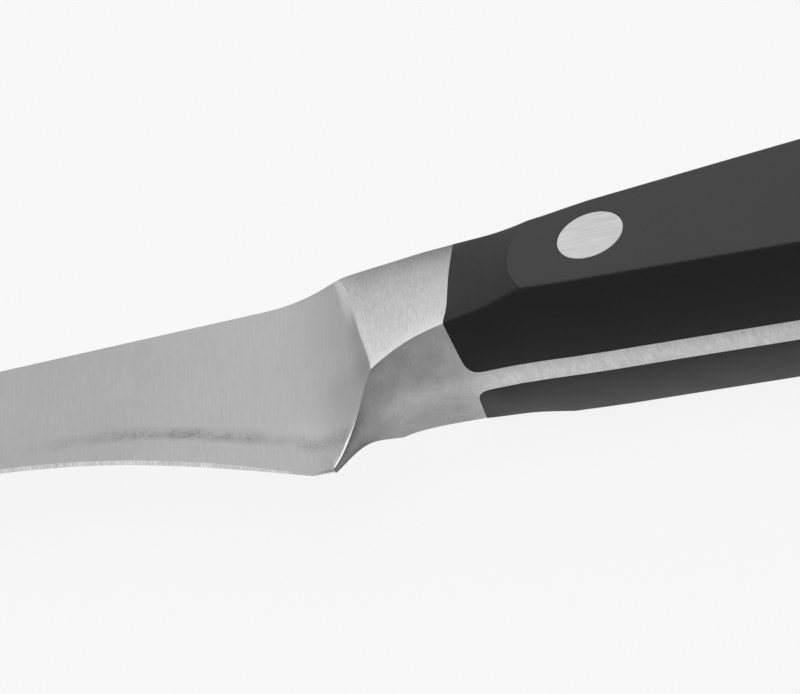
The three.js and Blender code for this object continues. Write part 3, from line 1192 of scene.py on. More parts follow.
@dataclass(frozen=True)
class Ground:
    """A surface that a belt has ground."""

    name: str
    colour: str
    roughness: float
    grind: Grind
    roughness_reach: ClassVar[float]

    def dress(self, tree: Tree, place: Socket, tone: Socket) -> Socket:
        """Tone with what else this kind of surface does to it."""
        return tone

    def extras(self, tree: Tree) -> Inputs:
        """Inputs of the shader that only this kind of surface has."""
        return {}

    def material(self) -> Material:
        """Build the material.

        Returns:
            The material.
        """
        material, tree = new_tree(self.name)
        place = add_node(tree, "ShaderNodeTexCoord", out="Object")
        lines = self.grind.lines(tree, place)
        clouds = self.grind.clouds(tree, place)
        tone = self.dress(tree, place, self.grind.tone(tree, lines, clouds))
        colour = {0: linear(self.colour), "Scale": tone}
        roughness_and_painted_shade = around(clouds, self.roughness, self.roughness_reach)
        inputs = {
            "Base Color": add_node(tree, "ShaderNodeVectorMath", colour, operation="SCALE"),
            "Roughness": add_node(tree, "ShaderNodeMapRange", roughness_and_painted_shade),
            "Normal": self.grind.bump(tree, lines),
            **self.extras(tree),
        }
        shader = add_node(tree, "ShaderNodeBsdfPrincipled", inputs)
        add_node(tree, "ShaderNodeOutputMaterial", {"Surface": shader})
        return material


@dataclass(frozen=True)
class GroundSteel(Ground):
    """Stainless steel ground on a belt, which draws reflections out across its lines."""

    anisotropy: float
    painted_reflection_band: PaintedReflectionBand | None = None
    reads_painted_light: bool = True
    roughness_reach: ClassVar[float] = 0.04

    def dress(self, tree: Tree, place: Socket, tone: Socket) -> Socket:
        """Add the painted reflection band and the painted light and shade, where the surface has them.

        Args:
            tree: the node tree.
            place: place on the object.
            tone: the tone of the ground lines.

        Returns:
            The whole tone.
        """
        if self.painted_reflection_band:
            tone = self.painted_reflection_band.factor(tree, place, tone)
        # Painted light and shade: the tone times the factor stored on the mesh
        if self.reads_painted_light:
            painted_light_factor = add_node(tree, "ShaderNodeAttribute", attribute_name="painted_light", out="Fac")
            tone = add_node(tree, "ShaderNodeMath", {0: tone, 1: painted_light_factor}, operation="MULTIPLY")
        return tone

    def extras(self, tree: Tree) -> Inputs:
        """Inputs of the shader that only steel has."""
        tangent = add_node(tree, "ShaderNodeTangent", direction_type="UV_MAP", uv_map="grind")
        return {"Metallic": 1.0, "Anisotropic": self.anisotropy, "Tangent": tangent}


@dataclass(frozen=True)
class GroundPolymer(Ground):
    """Black acetal: an even satin that shows belt lines where it was ground with the bolster."""

    specular: float
    ior: float = 1.48
    roughness_reach: ClassVar[float] = 0.03

    def extras(self, tree: Tree) -> Inputs:
        """Inputs of the shader that only polymer has."""
        return {"IOR": self.ior, "Specular IOR Level": self.specular}


# Fine, even lines up the blade, nearly too fine to see, on a colour darker than the bolster's that partly
# paints the darker reflections on the blade
BLADE_STEEL = GroundSteel(
    name="satin_ground_stainless", colour="b0b0b0", roughness=0.36, anisotropy=0.6,
    grind=Grind(
        spacing=0.15, length=2.6, contrast=0.06, depth=0.002, cloud_size=7.0, cloud_contrast=0.03, lean=9.0
    ),
    # Painted dark reflection band along the edge, ahead of the heel
    painted_reflection_band=PaintedReflectionBand(),
)
# Coarser lines on the sides of the bolster, on a lighter colour that partly paints the brighter light there
BOLSTER_STEEL = GroundSteel(
    name="belt_ground_stainless", colour="c0c0c0", roughness=0.42, anisotropy=0.5,
    grind=Grind(
        spacing=0.15, length=1.1, contrast=0.17, depth=0.004, cloud_size=2.5, cloud_contrast=0.04, lean=9.0
    ),
)
# Duller, cloudy grinding under the bolster and on the spine
UNDER_STEEL = GroundSteel(
    name="rough_ground_stainless", colour="b2b2b2", roughness=0.55, anisotropy=0.3,
    grind=Grind(spacing=0.2, length=0.6, contrast=0.1, depth=0.003, cloud_size=1.6, cloud_contrast=0.12),
)
# The same steel with clear lines across the tang
TANG_STEEL = GroundSteel(
    name="cross_ground_stainless", colour="b2b2b2", roughness=0.55, anisotropy=0.3,
    grind=Grind(spacing=0.22, length=1.0, contrast=0.14, depth=0.004, cloud_size=0.9, cloud_contrast=0.1),
)
# Narrow facet, nearly a mirror, where the edge of the finger guard was broken; its near-white colour paints
# part of the highlight that it shows
FACET_STEEL = GroundSteel(
    name="burnished_stainless", colour="ececec", roughness=0.3, anisotropy=0.2,
    grind=Grind(spacing=0.3, length=1.0, contrast=0.03, depth=0.001, cloud_size=2.0, cloud_contrast=0.03),
)
# Bright, uneven scratches of the whetstone across the bevel
EDGE_STEEL = GroundSteel(
    name="honed_stainless", colour="c3c3c3", roughness=0.4, anisotropy=0.5,
    grind=Grind(spacing=0.14, length=2.0, contrast=0.34, depth=0.004, cloud_size=2.5, cloud_contrast=0.12),
)
# Streaks along the handle, left by the belt that ground the heads flush
RIVET_STEEL = GroundSteel(
    name="flush_ground_stainless", colour="cecece", roughness=0.38, anisotropy=0.6, reads_painted_light=False,
    grind=Grind(
        spacing=0.24, length=4.0, contrast=0.13, depth=0.004, cloud_size=3.0, cloud_contrast=0.03,
        along_x=True,
    ),
)
# Short scratches that only just break the evenness of the polymer
FINE_GRIND = Grind(
    spacing=0.3, length=0.5, contrast=0.12, depth=0.002, cloud_size=8.0, cloud_contrast=0.08
)
# Even black satin
SATIN_POLYMER = GroundPolymer(
    name="satin_acetal", colour="1b1b1b", roughness=0.4, specular=0.5,
    grind=FINE_GRIND,
)
# Painted shade: the satin's black made darker and less shiny on the chamfers of belly and back
PAINTED_SHADE_POLYMER = GroundPolymer(
    name="painted_shade_acetal", colour="181818", roughness=0.44, specular=0.33,
    grind=FINE_GRIND,
)
# Duller black with belt lines, where the scales slope down to the bolster
GROUND_POLYMER = GroundPolymer(
    name="ground_acetal", colour="161616", roughness=0.44, specular=0.32,
    grind=Grind(spacing=0.25, length=3.5, contrast=0.4, depth=0.006, cloud_size=4.0, cloud_contrast=0.15),
)
SCALE_FINISHES = (SATIN_POLYMER, GROUND_POLYMER, PAINTED_SHADE_POLYMER)


# Sub-assemblies


@dataclass(frozen=True)
class PaintedLight:
    """Painted light and shade on the forging: a factor on the colour of each place, lighter where
    reflections are bright and darker where shade falls, 1 being plain. Sizes are in millimetres.

    A Step says where a tone sets in, and a gain or a loss says how much it adds or takes.
    """

    forging: "Forging"
    spine: float = 1.2
    # Sides of the bolster: painted light, lighter low and darker high by share of the height, with a
    # painted highlight along the ridge and painted shade towards the shoulder
    side_levels: Rail = Rail(((0.0, 1.36), (0.45, 1.22), (0.72, 1.08), (0.88, 0.86), (1.0, 0.7)))
    ridge_gain: float = 0.06
    ridge_along: Step = Step(-9.0, -13.0)
    ridge_up: Step = Step(2.0, 6.0)
    rim_gain: float = 0.16
    rim_least: float = 0.5
    rim_up: Step = Step(-7.0, -1.0)
    rim_width: Step = Step(1.8, 0.2)
    shoulder_loss: float = 0.2
    shoulder_least: float = 0.4
    shoulder_foot: float = -3.0
    shoulder_along: Step = Step(-9.0, 0.0)
    # Blade and hollow: painted light, lighter towards the heel, a painted highlight band ahead of the upper
    # ridge, and painted shade close ahead of the ridge lower down and at the foot
    hollow_gain: float = 0.1
    hollow_along: Step = Step(-46.0, -24.0)
    band_width: Rail = Rail(((0.5, 0.6), (1.5, 1.0), (3.0, 1.1), (5.0, 1.0), (7.5, 0.75), (9.0, 0.55)))
    band_gain: Rail = Rail(((-0.8, 0.0), (0.5, 0.08), (1.5, 0.22), (2.5, 0.38), (4.0, 0.46), (9.0, 0.44)))
    band_core: float = 0.6
    band_end: float = 1.5
    painted_shade_loss: float = 0.24
    painted_shade_low: Step = Step(-12.0, -7.0)
    painted_shade_high: Step = Step(2.0, -2.0)
    painted_shade_up: Step = Step(-5.0, -1.0)
    painted_shade_wide: float = 2.8
    painted_shade_narrow: float = 1.8
    foot_loss: float = 0.19
    foot_along: Step = Step(-17.0, -12.0)
    foot_down: Step = Step(-4.0, -10.0)
    # Bevel, lighter towards the heel, and the facet's painted highlight by height above the place where it
    # runs out
    edge_gain: float = 0.6
    edge_along: Step = Step(-24.0, -17.0)
    facet_levels: Rail = Rail(((-2.0, 1.0), (-0.6, 0.9), (0.6, 0.4), (10.0, 0.4)))
    # Underside: painted light and shade by place and from right to left, with the darkest painted shade
    # along the edge of the guard
    under_levels: Rail = Rail((
        (-12.9, 0.5), (-9.5, 0.84), (-6.0, 1.06), (-1.0, 1.07), (4.0, 1.48), (40.0, 1.36)
    ))
    across_levels: Rail = Rail(((-5.0, 0.84), (-2.0, 0.88), (0.0, 1.03), (1.0, 1.12), (2.5, 1.03)))
    across_along: Step = Step(-10.0, -5.0)
    plain_right: float = 0.96
    plain_left: float = 1.04
    plain_across: Step = Step(-2.0, 2.0)
    neck_gain: float = 0.2
    neck_along: Step = Step(-3.0, -0.2)
    neck_across: Step = Step(0.5, 2.5)
    even_along: Step = Step(-3.0, 3.0)
    guard_loss: float = 0.36
    guard_across: Step = Step(0.15, 0.9)
    guard_along: Step = Step(-9.2, -11.2)

    def side(self, x: float, y: float) -> float:
        """Painted light and shade on the bolster's sides.

        Args:
            x: place along the knife.
            y: height.

        Returns:
            The factor on the colour.
        """
        grip = self.forging.grip
        low = grip.under(x, grip.side(x))
        high = grip.over(x, grip.side(x))
        ridge = self.ridge_along(x) * self.ridge_up(y)
        rim = lerp(self.rim_least, 1.0, self.rim_up(y)) * self.rim_width(x - self.forging.ridge_line(y))
        up = smoothstep(y, self.shoulder_foot, high)
        shoulder = self.shoulder_along(x) * lerp(self.shoulder_least, 1.0, up)
        level = self.side_levels((y - low) / (high - low))
        return level + self.ridge_gain * ridge + self.rim_gain * rim - self.shoulder_loss * shoulder

    def hollow(self, x: float, y: float) -> float:
        """Painted light and shade on the blade and its hollow.

        Args:
            x: place along the knife.
            y: height.

        Returns:
            The factor on the colour.
        """
        # Painted highlight band ahead of the upper ridge, painted shade close ahead of the ridge lower
        # down, and painted shade at the foot
        ahead = self.forging.ridge_line(y) - x
        width = self.band_width(y)
        band = self.band_gain(y) * smoothstep(ahead, self.band_end * width, self.band_core * width)
        reach = lerp(self.painted_shade_wide, self.painted_shade_narrow, self.painted_shade_up(y))
        roughness_and_painted_shade = self.painted_shade_low(y) * self.painted_shade_high(y) * smoothstep(ahead, reach, 0.0)
        foot = self.foot_along(x) * self.foot_down(y)
        level = 1 + self.hollow_gain * self.hollow_along(x)
        return level + band - self.painted_shade_loss * roughness_and_painted_shade - self.foot_loss * foot

    def under(self, x: float, y: float, z: float) -> float:
        """Painted light and shade on the underside.

        Args:
            x: place along the knife.
            y: height.
            z: distance from the middle, to the left.

        Returns:
            The polish.
        """
        reach = abs(z) / self.forging.thickness(x, y)
        guard = self.guard_across(reach) * self.guard_along(x)
        # The factor on the colour.
        plain = lerp(self.plain_right, self.plain_left, self.plain_across(z))
        near = lerp(plain, self.across_levels(z), self.across_along(x))
        near += self.neck_gain * self.neck_along(x) * self.neck_across(z)
        across = lerp(near, 1.0, self.even_along(x))
        return self.under_levels(x) * (1 - self.guard_loss * guard) * across

    def at(self, finish: GroundSteel, spot: Vector) -> float:
        """Painted light and shade of a finish at a place.

        Args:
            finish: the finish.
            spot: the place, in the knife's frame.

        Returns:
            The polish.
        """
        x, y, z = spot
        if finish is BOLSTER_STEEL:
            return self.side(x, y)
        if finish is EDGE_STEEL:
            return 1 + self.edge_gain * self.edge_along(x)
        if finish is FACET_STEEL:
            return self.facet_levels(y - self.forging.facet_end)
        if finish is BLADE_STEEL:
            return self.hollow(x, y)
        return self.under(x, y, z) if y < 0 else self.spine


@dataclass
class Forging:
    """Blade, bolster and tang in one piece."""

    grip: GripForm
    blade: BladeForm
    place: Place
    hollow_x: float = -36.0
    foot_top_x: float = -20.0
    edge_radius: float = 0.02
    spine_radius: float = 0.15
    facet_width: float = 0.3
    facet_tilt: float = 0.4
    # Width of the facet at its foot, and where it is broadest and runs out, as shares
    facet_foot: float = 0.6
    facet_broad: float = 0.25
    facet_reach: float = 0.58
    bolster_radius: float = 0.06
    shoulder_radius: float = 0.25
    ridge_softness_low: float = 0.03
    ridge_softness_high: float = 0.24
    ridge_soft_y: float = -2.0
    point_steps: int = 10
    blade_steps: int = 20
    sweep_steps: int = 24
    heel_steps: int = 14
    foot_steps: int = 3
    guard_steps: int = 28
    bolster_steps: int = 22
    tang_steps: int = 30
    tang_share: float = 0.3
    hole_radius: float = 2.34
    hole_sides: int = 48
    sharp_angle: float = 32.0
    name: str = "forged_blade"
    rivet_places: Sequence[float] = field(default_factory=list)
    finishes: tuple[GroundSteel, ...] = (
        BLADE_STEEL, EDGE_STEEL, BOLSTER_STEEL, UNDER_STEEL, TANG_STEEL, FACET_STEEL
    )

    @cached_property
    def knuckle_x(self) -> float:
        """Place where the ridge meets the underside."""

        def rise(x: float) -> float:
            """How far the hollow stands above the side face, on the edge of the underside."""
            side = self.grip.side(x)
            return self.blade.half(x, self.grip.under(x, side)) - side

        return crossing(rise, self.blade.heel_x, 0.0)

    @cached_property
    def knuckle_y(self) -> float:
        """Height of the knuckle."""
        return self.grip.under(self.knuckle_x, self.grip.side(self.knuckle_x))

    def ridge_x(self, y: float) -> float:
        """Place of the ridge at height y.

        Args:
            y: the height.

        Returns:
            The place.
        """
        return crossing(
            lambda x: self.blade.half(x, y) - self.grip.face(x, y), self.blade.hollow_start(y), 0.0
        )

    @cached_property
    def ridge_top_x(self) -> float:
        """Place of the ridge at the spine."""
        return self.ridge_x(self.blade.spine)

    @cached_property
    def facet(self) -> Rail:
        """Width of the bright facet along the guard, by height."""
        foot = -self.grip.heel_depth
        broad = lerp(foot, self.knuckle_y, self.facet_broad)
        plain = self.bolster_radius
        width = self.facet_width
        return Rail((
            (foot, self.facet_foot * width), (broad, width), (self.facet_end, plain), (0.0, plain)
        ))

    @property
    def facet_end(self) -> float:
        """Height where the facet runs out."""
        return lerp(-self.grip.heel_depth, self.knuckle_y, self.facet_reach)

    @cached_property
    def ridge_line(self) -> Rail:
        """Place of the ridge by height."""
        heights = divide(self.knuckle_y, self.blade.spine, CURVE_STEPS)
        return Rail(tuple((y, self.ridge_x(y)) for y in heights))

    @cached_property
    def ridge_bow(self) -> Rail:
        """How far the ridge stands off the straight line from knuckle to spine, by share of it."""
        shares = divide(0.0, 1.0, CURVE_STEPS)
        straight = divide(self.knuckle_x, self.ridge_top_x, CURVE_STEPS)
        ridge = [x for _, x in self.ridge_line.knots]
        return Rail(tuple((share, r - s) for share, r, s in zip(shares, ridge, straight)))

    def thickness(self, x: float, y: float) -> float:
        """Half thickness, with the ridge softened, most of all towards the spine.

        Args:
            x: place along the knife.
            y: height.

        Returns:
            The half thickness.
        """
        up = smoothstep(y, self.ridge_soft_y, self.blade.spine)
        softness = lerp(self.ridge_softness_low, self.ridge_softness_high, up)
        return soft_least(self.blade.half(x, y), self.grip.face(x, y), softness)

    def guard_edge_x(self, y: float) -> float:
        """Place of the edge between hollow and finger guard at height y.

        Args:
            y: the height.

        Returns:
            The place.
        """
        return crossing(
            lambda x: self.grip.under(x, self.blade.half(x, y)) - y, -self.grip.guard_setback, 0.0
        )

    def top_curve(self, x: float, width: float) -> Curve:
        """The back at x, from its outer corner to the middle."""
        return lambda share: Vector((x, self.grip.over(x, width * (1 - share)), width * (1 - share)))

    def blade_station(self, low_x: float, top_x: float, bow: float) -> Station:
        """A line across the blade.

        Args:
            low_x: its place at the cutting edge.
            top_x: its place at the spine.
            bow: share of the ridge's bow that it takes on.

        Returns:
            The line.
        """
        blade = self.blade
        edge = blade.edge(low_x)
        low = edge + blade.bevel(low_x)
        high = blade.top(top_x)
        foot = Vector((low_x, edge, 0))

        def face(share: float) -> Vector:
            """Blade face from the bevel to the spine.

            Args:
                share: share of the way along it.

            Returns:
                The point.
            """
            x = lerp(low_x, top_x, share)
            if bow > 0:
                x += bow * self.ridge_bow(share)
            y = lerp(low, high, share)
            return Vector((x, y, self.thickness(x, y) if bow > 0 else blade.half(x, y)))

        corner = face(0.0)
        width = face(1.0).z
        return Station(
            under=lambda share: foot.lerp(corner, share),
            face=face,
            over=lambda share: Vector((top_x, high, width * (1 - share))),
            low_radius=self.edge_radius,
            high_radius=self.spine_radius,
        )

    def guard_station(self, y: float, top_x: float, bow: float) -> Station:
        """A line across the finger guard and up the hollow.

        Args:
            y: its height on the edge of the guard.
            top_x: its place at the spine.
            bow: share of the ridge's bow that it takes on.

        Returns:
            The line.
        """
        low_x = self.guard_edge_x(y)

        def face(share: float) -> Vector:
            """Hollow from the edge of the guard to the spine.

            Args:
                share: share of the way along it.

            Returns:
                The point.
            """
            x = lerp(low_x, top_x, share) + bow * self.ridge_bow(share)
            height = lerp(y, self.blade.spine, share)
            return Vector((x, height, self.thickness(x, height)))

        corner = face(0.0)
        return Station(
            under=lambda share: self.belly_point(low_x, self.tang_width(share) * corner.z),
            face=face,
            over=self.top_curve(top_x, face(1.0).z),
            low_radius=self.facet(y),
            high_radius=self.spine_radius,
            low_share=self.facet_tilt,
            flat_corner=True,
        )

    def tang_width(self, share: float) -> float:
        """Share of the width at a share of the underside ahead of the knuckle.

        Args:
            share: share of the way along it.

        Returns:
            The share of the width.
        """
        if share < 0.5:
            return 2 * share * self.tang_share
        return lerp(self.tang_share, 1.0, 2 * share - 1)

    def belly_point(self, x: float, z: float) -> Vector:
        """A point of the underside."""
        return Vector((x, self.grip.under(x, z), z))

    def shoulder_point(self, share: float) -> tuple[float, float]:
        """Place and width at a share of the way from the middle out along the shoulder.

        Args:
            share: share of the way along it.

        Returns:
            The place and the width.
        """
        grip = self.grip
        if share < 0.5:
            return grip.plan(grip.tang_half), 2 * share * grip.tang_half
        width = grip.plan_width(2 * share - 1)
        return grip.plan(width), width

    def bolster_station(self, along: float) -> Station:
        """A line across the bolster.

        Args:
            along: 0 at the ridge, 1 at the shoulder.

        Returns:
            The line.
        """
        grip = self.grip
        low_x = lerp(self.knuckle_x, 0.0, along)
        top_x = lerp(self.ridge_top_x, 0.0, along)
        low_z = self.thickness(low_x, grip.under(low_x, grip.side(low_x)))
        low_y = grip.under(low_x, low_z)
        high_y = grip.over(top_x, grip.side(top_x))

        def widen(x: float, share: float, width: float) -> tuple[float, float]:
            """Place and width on the underside or the back, which take on the shoulder's line.

            Args:
                x: place along the knife.
                share: share of the way along it.
                width: width of the line.

            Returns:
                The place and the width.
            """
            shoulder_x, shoulder_z = self.shoulder_point(share)
            narrow = lerp(self.tang_width(share), shoulder_z / grip.neck_half, along)
            return x + along * shoulder_x, narrow * width

        def under(share: float) -> Vector:
            """Underside from the middle to the corner."""
            return self.belly_point(*widen(low_x, share, low_z))

        def face(share: float) -> Vector:
            """Side face from the lower to the upper corner.

            Args:
                share: share of the way along it.

            Returns:
                The point.
            """
            y = lerp(low_y, high_y, share)
            lean = (1 - along) * self.ridge_bow(share)
            lean += along * grip.rim(y)
            x = lerp(low_x, top_x, share) + lean
            return Vector((x, y, self.thickness(x, y)))

        high_z = face(1.0).z

        def over(share: float) -> Vector:
            """Back from the corner to the middle."""
            x, z = widen(top_x, 1 - share, high_z)
            return Vector((x, min(self.blade.spine, grip.over(x, z)), z))

        low_radius = lerp(self.bolster_radius, self.shoulder_radius, along**RIM_POWER)
        return Station(under, face, over, low_radius, self.spine_radius)

    def tang_line(self, x: float) -> list[Vector]:
        """A line across the tang.

        Args:
            x: place along the knife.

        Returns:
            The points of the line.
        """
        grip = self.grip
        half = grip.tang_half
        strip = [self.belly_point(x, z) for z in divide(0.0, half, ROWS.strip)[:-1]]
        low = grip.under(x, half)
        high = grip.over(x, half)
        wall = [Vector((x, y, half)) for y in divide(low, high, len(ROWS.chain) - 1)]
        top = [Vector((x, grip.over(x, z), z)) for z in divide(half, 0.0, ROWS.top_strip)[1:]]
        return [*strip, *wall, *top]

    def stations(self) -> dict[Zone, list[list[Vector]]]:
        """All lines of the left half, from the point to the butt, by zone.

        Returns:
            The lines.
        """
        blade = self.blade
        grip = self.grip
        turn = divide(0.0, math.pi / 2, self.point_steps)
        plain = [blade.point_x + blade.point_sweep * (1 - math.cos(angle)) for angle in turn]
        plain += divide(blade.fore_x, blade.waist_x, self.blade_steps)[1:]
        plain += divide(blade.waist_x, self.hollow_x, self.sweep_steps)[1:]
        lines = [self.blade_station(x, x, 0.0).points() for x in plain]
        foot = -grip.guard_setback
        low = divide(self.hollow_x, blade.heel_x, self.heel_steps)[1:]
        low += divide(blade.heel_x, foot, self.foot_steps)[1:]
        last = len(low) + self.guard_steps
        tops = divide(self.hollow_x, self.foot_top_x, len(low))[1:]
        bows = [smoothstep(i / last, 0.0, 1.0) for i in range(1, last + 1)]
        lines += [self.blade_station(*each).points() for each in zip(low, tops, bows)]
        cutting, foot_lines = lines[: -self.foot_steps], lines[-self.foot_steps :]
        foot_y = blade.edge(foot) + blade.bevel(foot)
        heights = divide(foot_y, self.knuckle_y, self.guard_steps - 1)
        tops = divide(self.foot_top_x, self.ridge_top_x, self.guard_steps)[1:]
        guard = [self.guard_station(*each).points() for each in zip(heights, tops, bows[len(low) :])]
        bolster = [self.bolster_station(a).points() for a in divide(0.0, 1.0, self.bolster_steps)[1:]]
        places = divide(grip.plan(grip.tang_half), grip.length - grip.butt_back_radius, self.tang_steps)[1:]
        places += [grip.length - grip.butt_back_radius * (1 - math.sin(a)) for a in turn[1:]]
        tang = shoulder_face(grip, bolster[-1], ROWS.chain, 0.0)
        tang += [self.tang_line(x) for x in places]
        return {
            Zone.BLADE: cutting, Zone.FOOT: foot_lines, Zone.GUARD: guard, Zone.BOLSTER: bolster,
            Zone.TANG: tang,
        }

    def finish(self, zone: Zone, row: int) -> GroundSteel:
        """Finish of one strip of the mesh.

        Args:
            zone: zone that the strip lies in.
            row: its row, counted from the belly.

        Returns:
            The finish.
        """
        if zone is Zone.TANG:
            return TANG_STEEL
        if row < ROWS.low_corner.start:
            return {Zone.BLADE: EDGE_STEEL, Zone.FOOT: FACET_STEEL}.get(zone, UNDER_STEEL)
        if row >= ROWS.side.stop:
            return UNDER_STEEL
        if zone is Zone.BOLSTER:
            return BOLSTER_STEEL
        return FACET_STEEL if zone is Zone.GUARD and row in ROWS.low_corner else BLADE_STEEL

    def build(self) -> Piece:
        """Build the forging and drill it for the rivets.

        Returns:
            The piece.
        """
        zones = self.stations()
        lines = [line for zone in zones.values() for line in zone]
        names = [name for name, zone in zones.items() for _ in zone]
        bm = skin(lines, lambda line, row: self.finishes.index(self.finish(names[line + 1], row)))
        everything = [*bm.verts, *bm.edges, *bm.faces]
        bmesh.ops.mirror(bm, geom=everything, matrix=Matrix(), merge_dist=MERGE_DISTANCE, axis="Z")
        close(bm)
        piece = self.place.piece(self.name, bm)
        for finish in self.finishes:
            piece.data.materials.append(finish.material())
        reach = 2 * self.grip.tang_half
        bars = (bar(x, self.hole_radius, -reach, reach, self.hole_sides) for x in self.rivet_places)
        drill(piece, bars, self.place.matrix)
        shade(piece, self.sharp_angle)
        return piece

    def dress(self, piece: Piece) -> None:
        """Write the maps that the finishes read, the painted light and shade among them, then settle the
        forging.

        Args:
            piece: the forging.
        """
        mesh = piece.data
        back = self.place.matrix.inverted()
        spots = [back @ vertex.co for vertex in mesh.vertices]
        rises = [(spot.y - self.blade.edge(spot.x)) * MM for spot in spots]
        mesh.attributes.new("edge_rise", "FLOAT", "POINT").data.foreach_set("value", rises)
        # Painted light and shade: a factor on the colour at every corner of the faces
        painted_light = PaintedLight(self)
        painted_light_factor = [1.0] * len(mesh.loops)
        for polygon in mesh.polygons:
            finish = self.finishes[polygon.material_index]
            for i in polygon.loop_indices:
                painted_light_factor[i] = painted_light.at(finish, spots[mesh.loops[i].vertex_index])
        mesh.attributes.new("painted_light", "FLOAT", "CORNER").data.foreach_set("value", painted_light_factor)
        settle(piece, Slot.FORGED_STEEL, "blade_forging")


def shoulder_face(
    grip: GripForm, edge: Sequence[Vector], chain: range, gap: float
) -> list[list[Vector]]:
    """Lines of a face along the shoulder, from its rim in to the tang.

    Args:
        grip: the form that both pieces are ground to.
        edge: points of the rim.
        chain: those points of the rim that move in to the tang.
        gap: clearance that the face keeps.

    Returns:
        The lines, the last of which lies on the tang.
    """
    inner = grip.tang_half + gap
    low = edge[chain[0]].y
    high = edge[chain[-1]].y
    lines = []
    for share in SHOULDER_SHARES:
        line = [point.copy() for point in edge]
        for i in chain:
            seat = lerp(low, high, (i - chain[0]) / (len(chain) - 1))
            z = lerp(edge[i].z, inner, share)
            line[i] = Vector((grip.plan(z, gap), lerp(edge[i].y, seat, share), z))
        lines.append(line)
    return lines


def settle(piece: Piece, slot: Slot, node: str) -> None:
    """Put a finished piece on the knife's body in place of a solid.

    Args:
        piece: the piece.
        slot: its material slot; not used.
        node: the solid's node.
    """
    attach(piece, BODY)
    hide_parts(node)
    LOG.info("%s stands for %s with %d faces", piece.name, node, len(piece.data.polygons))


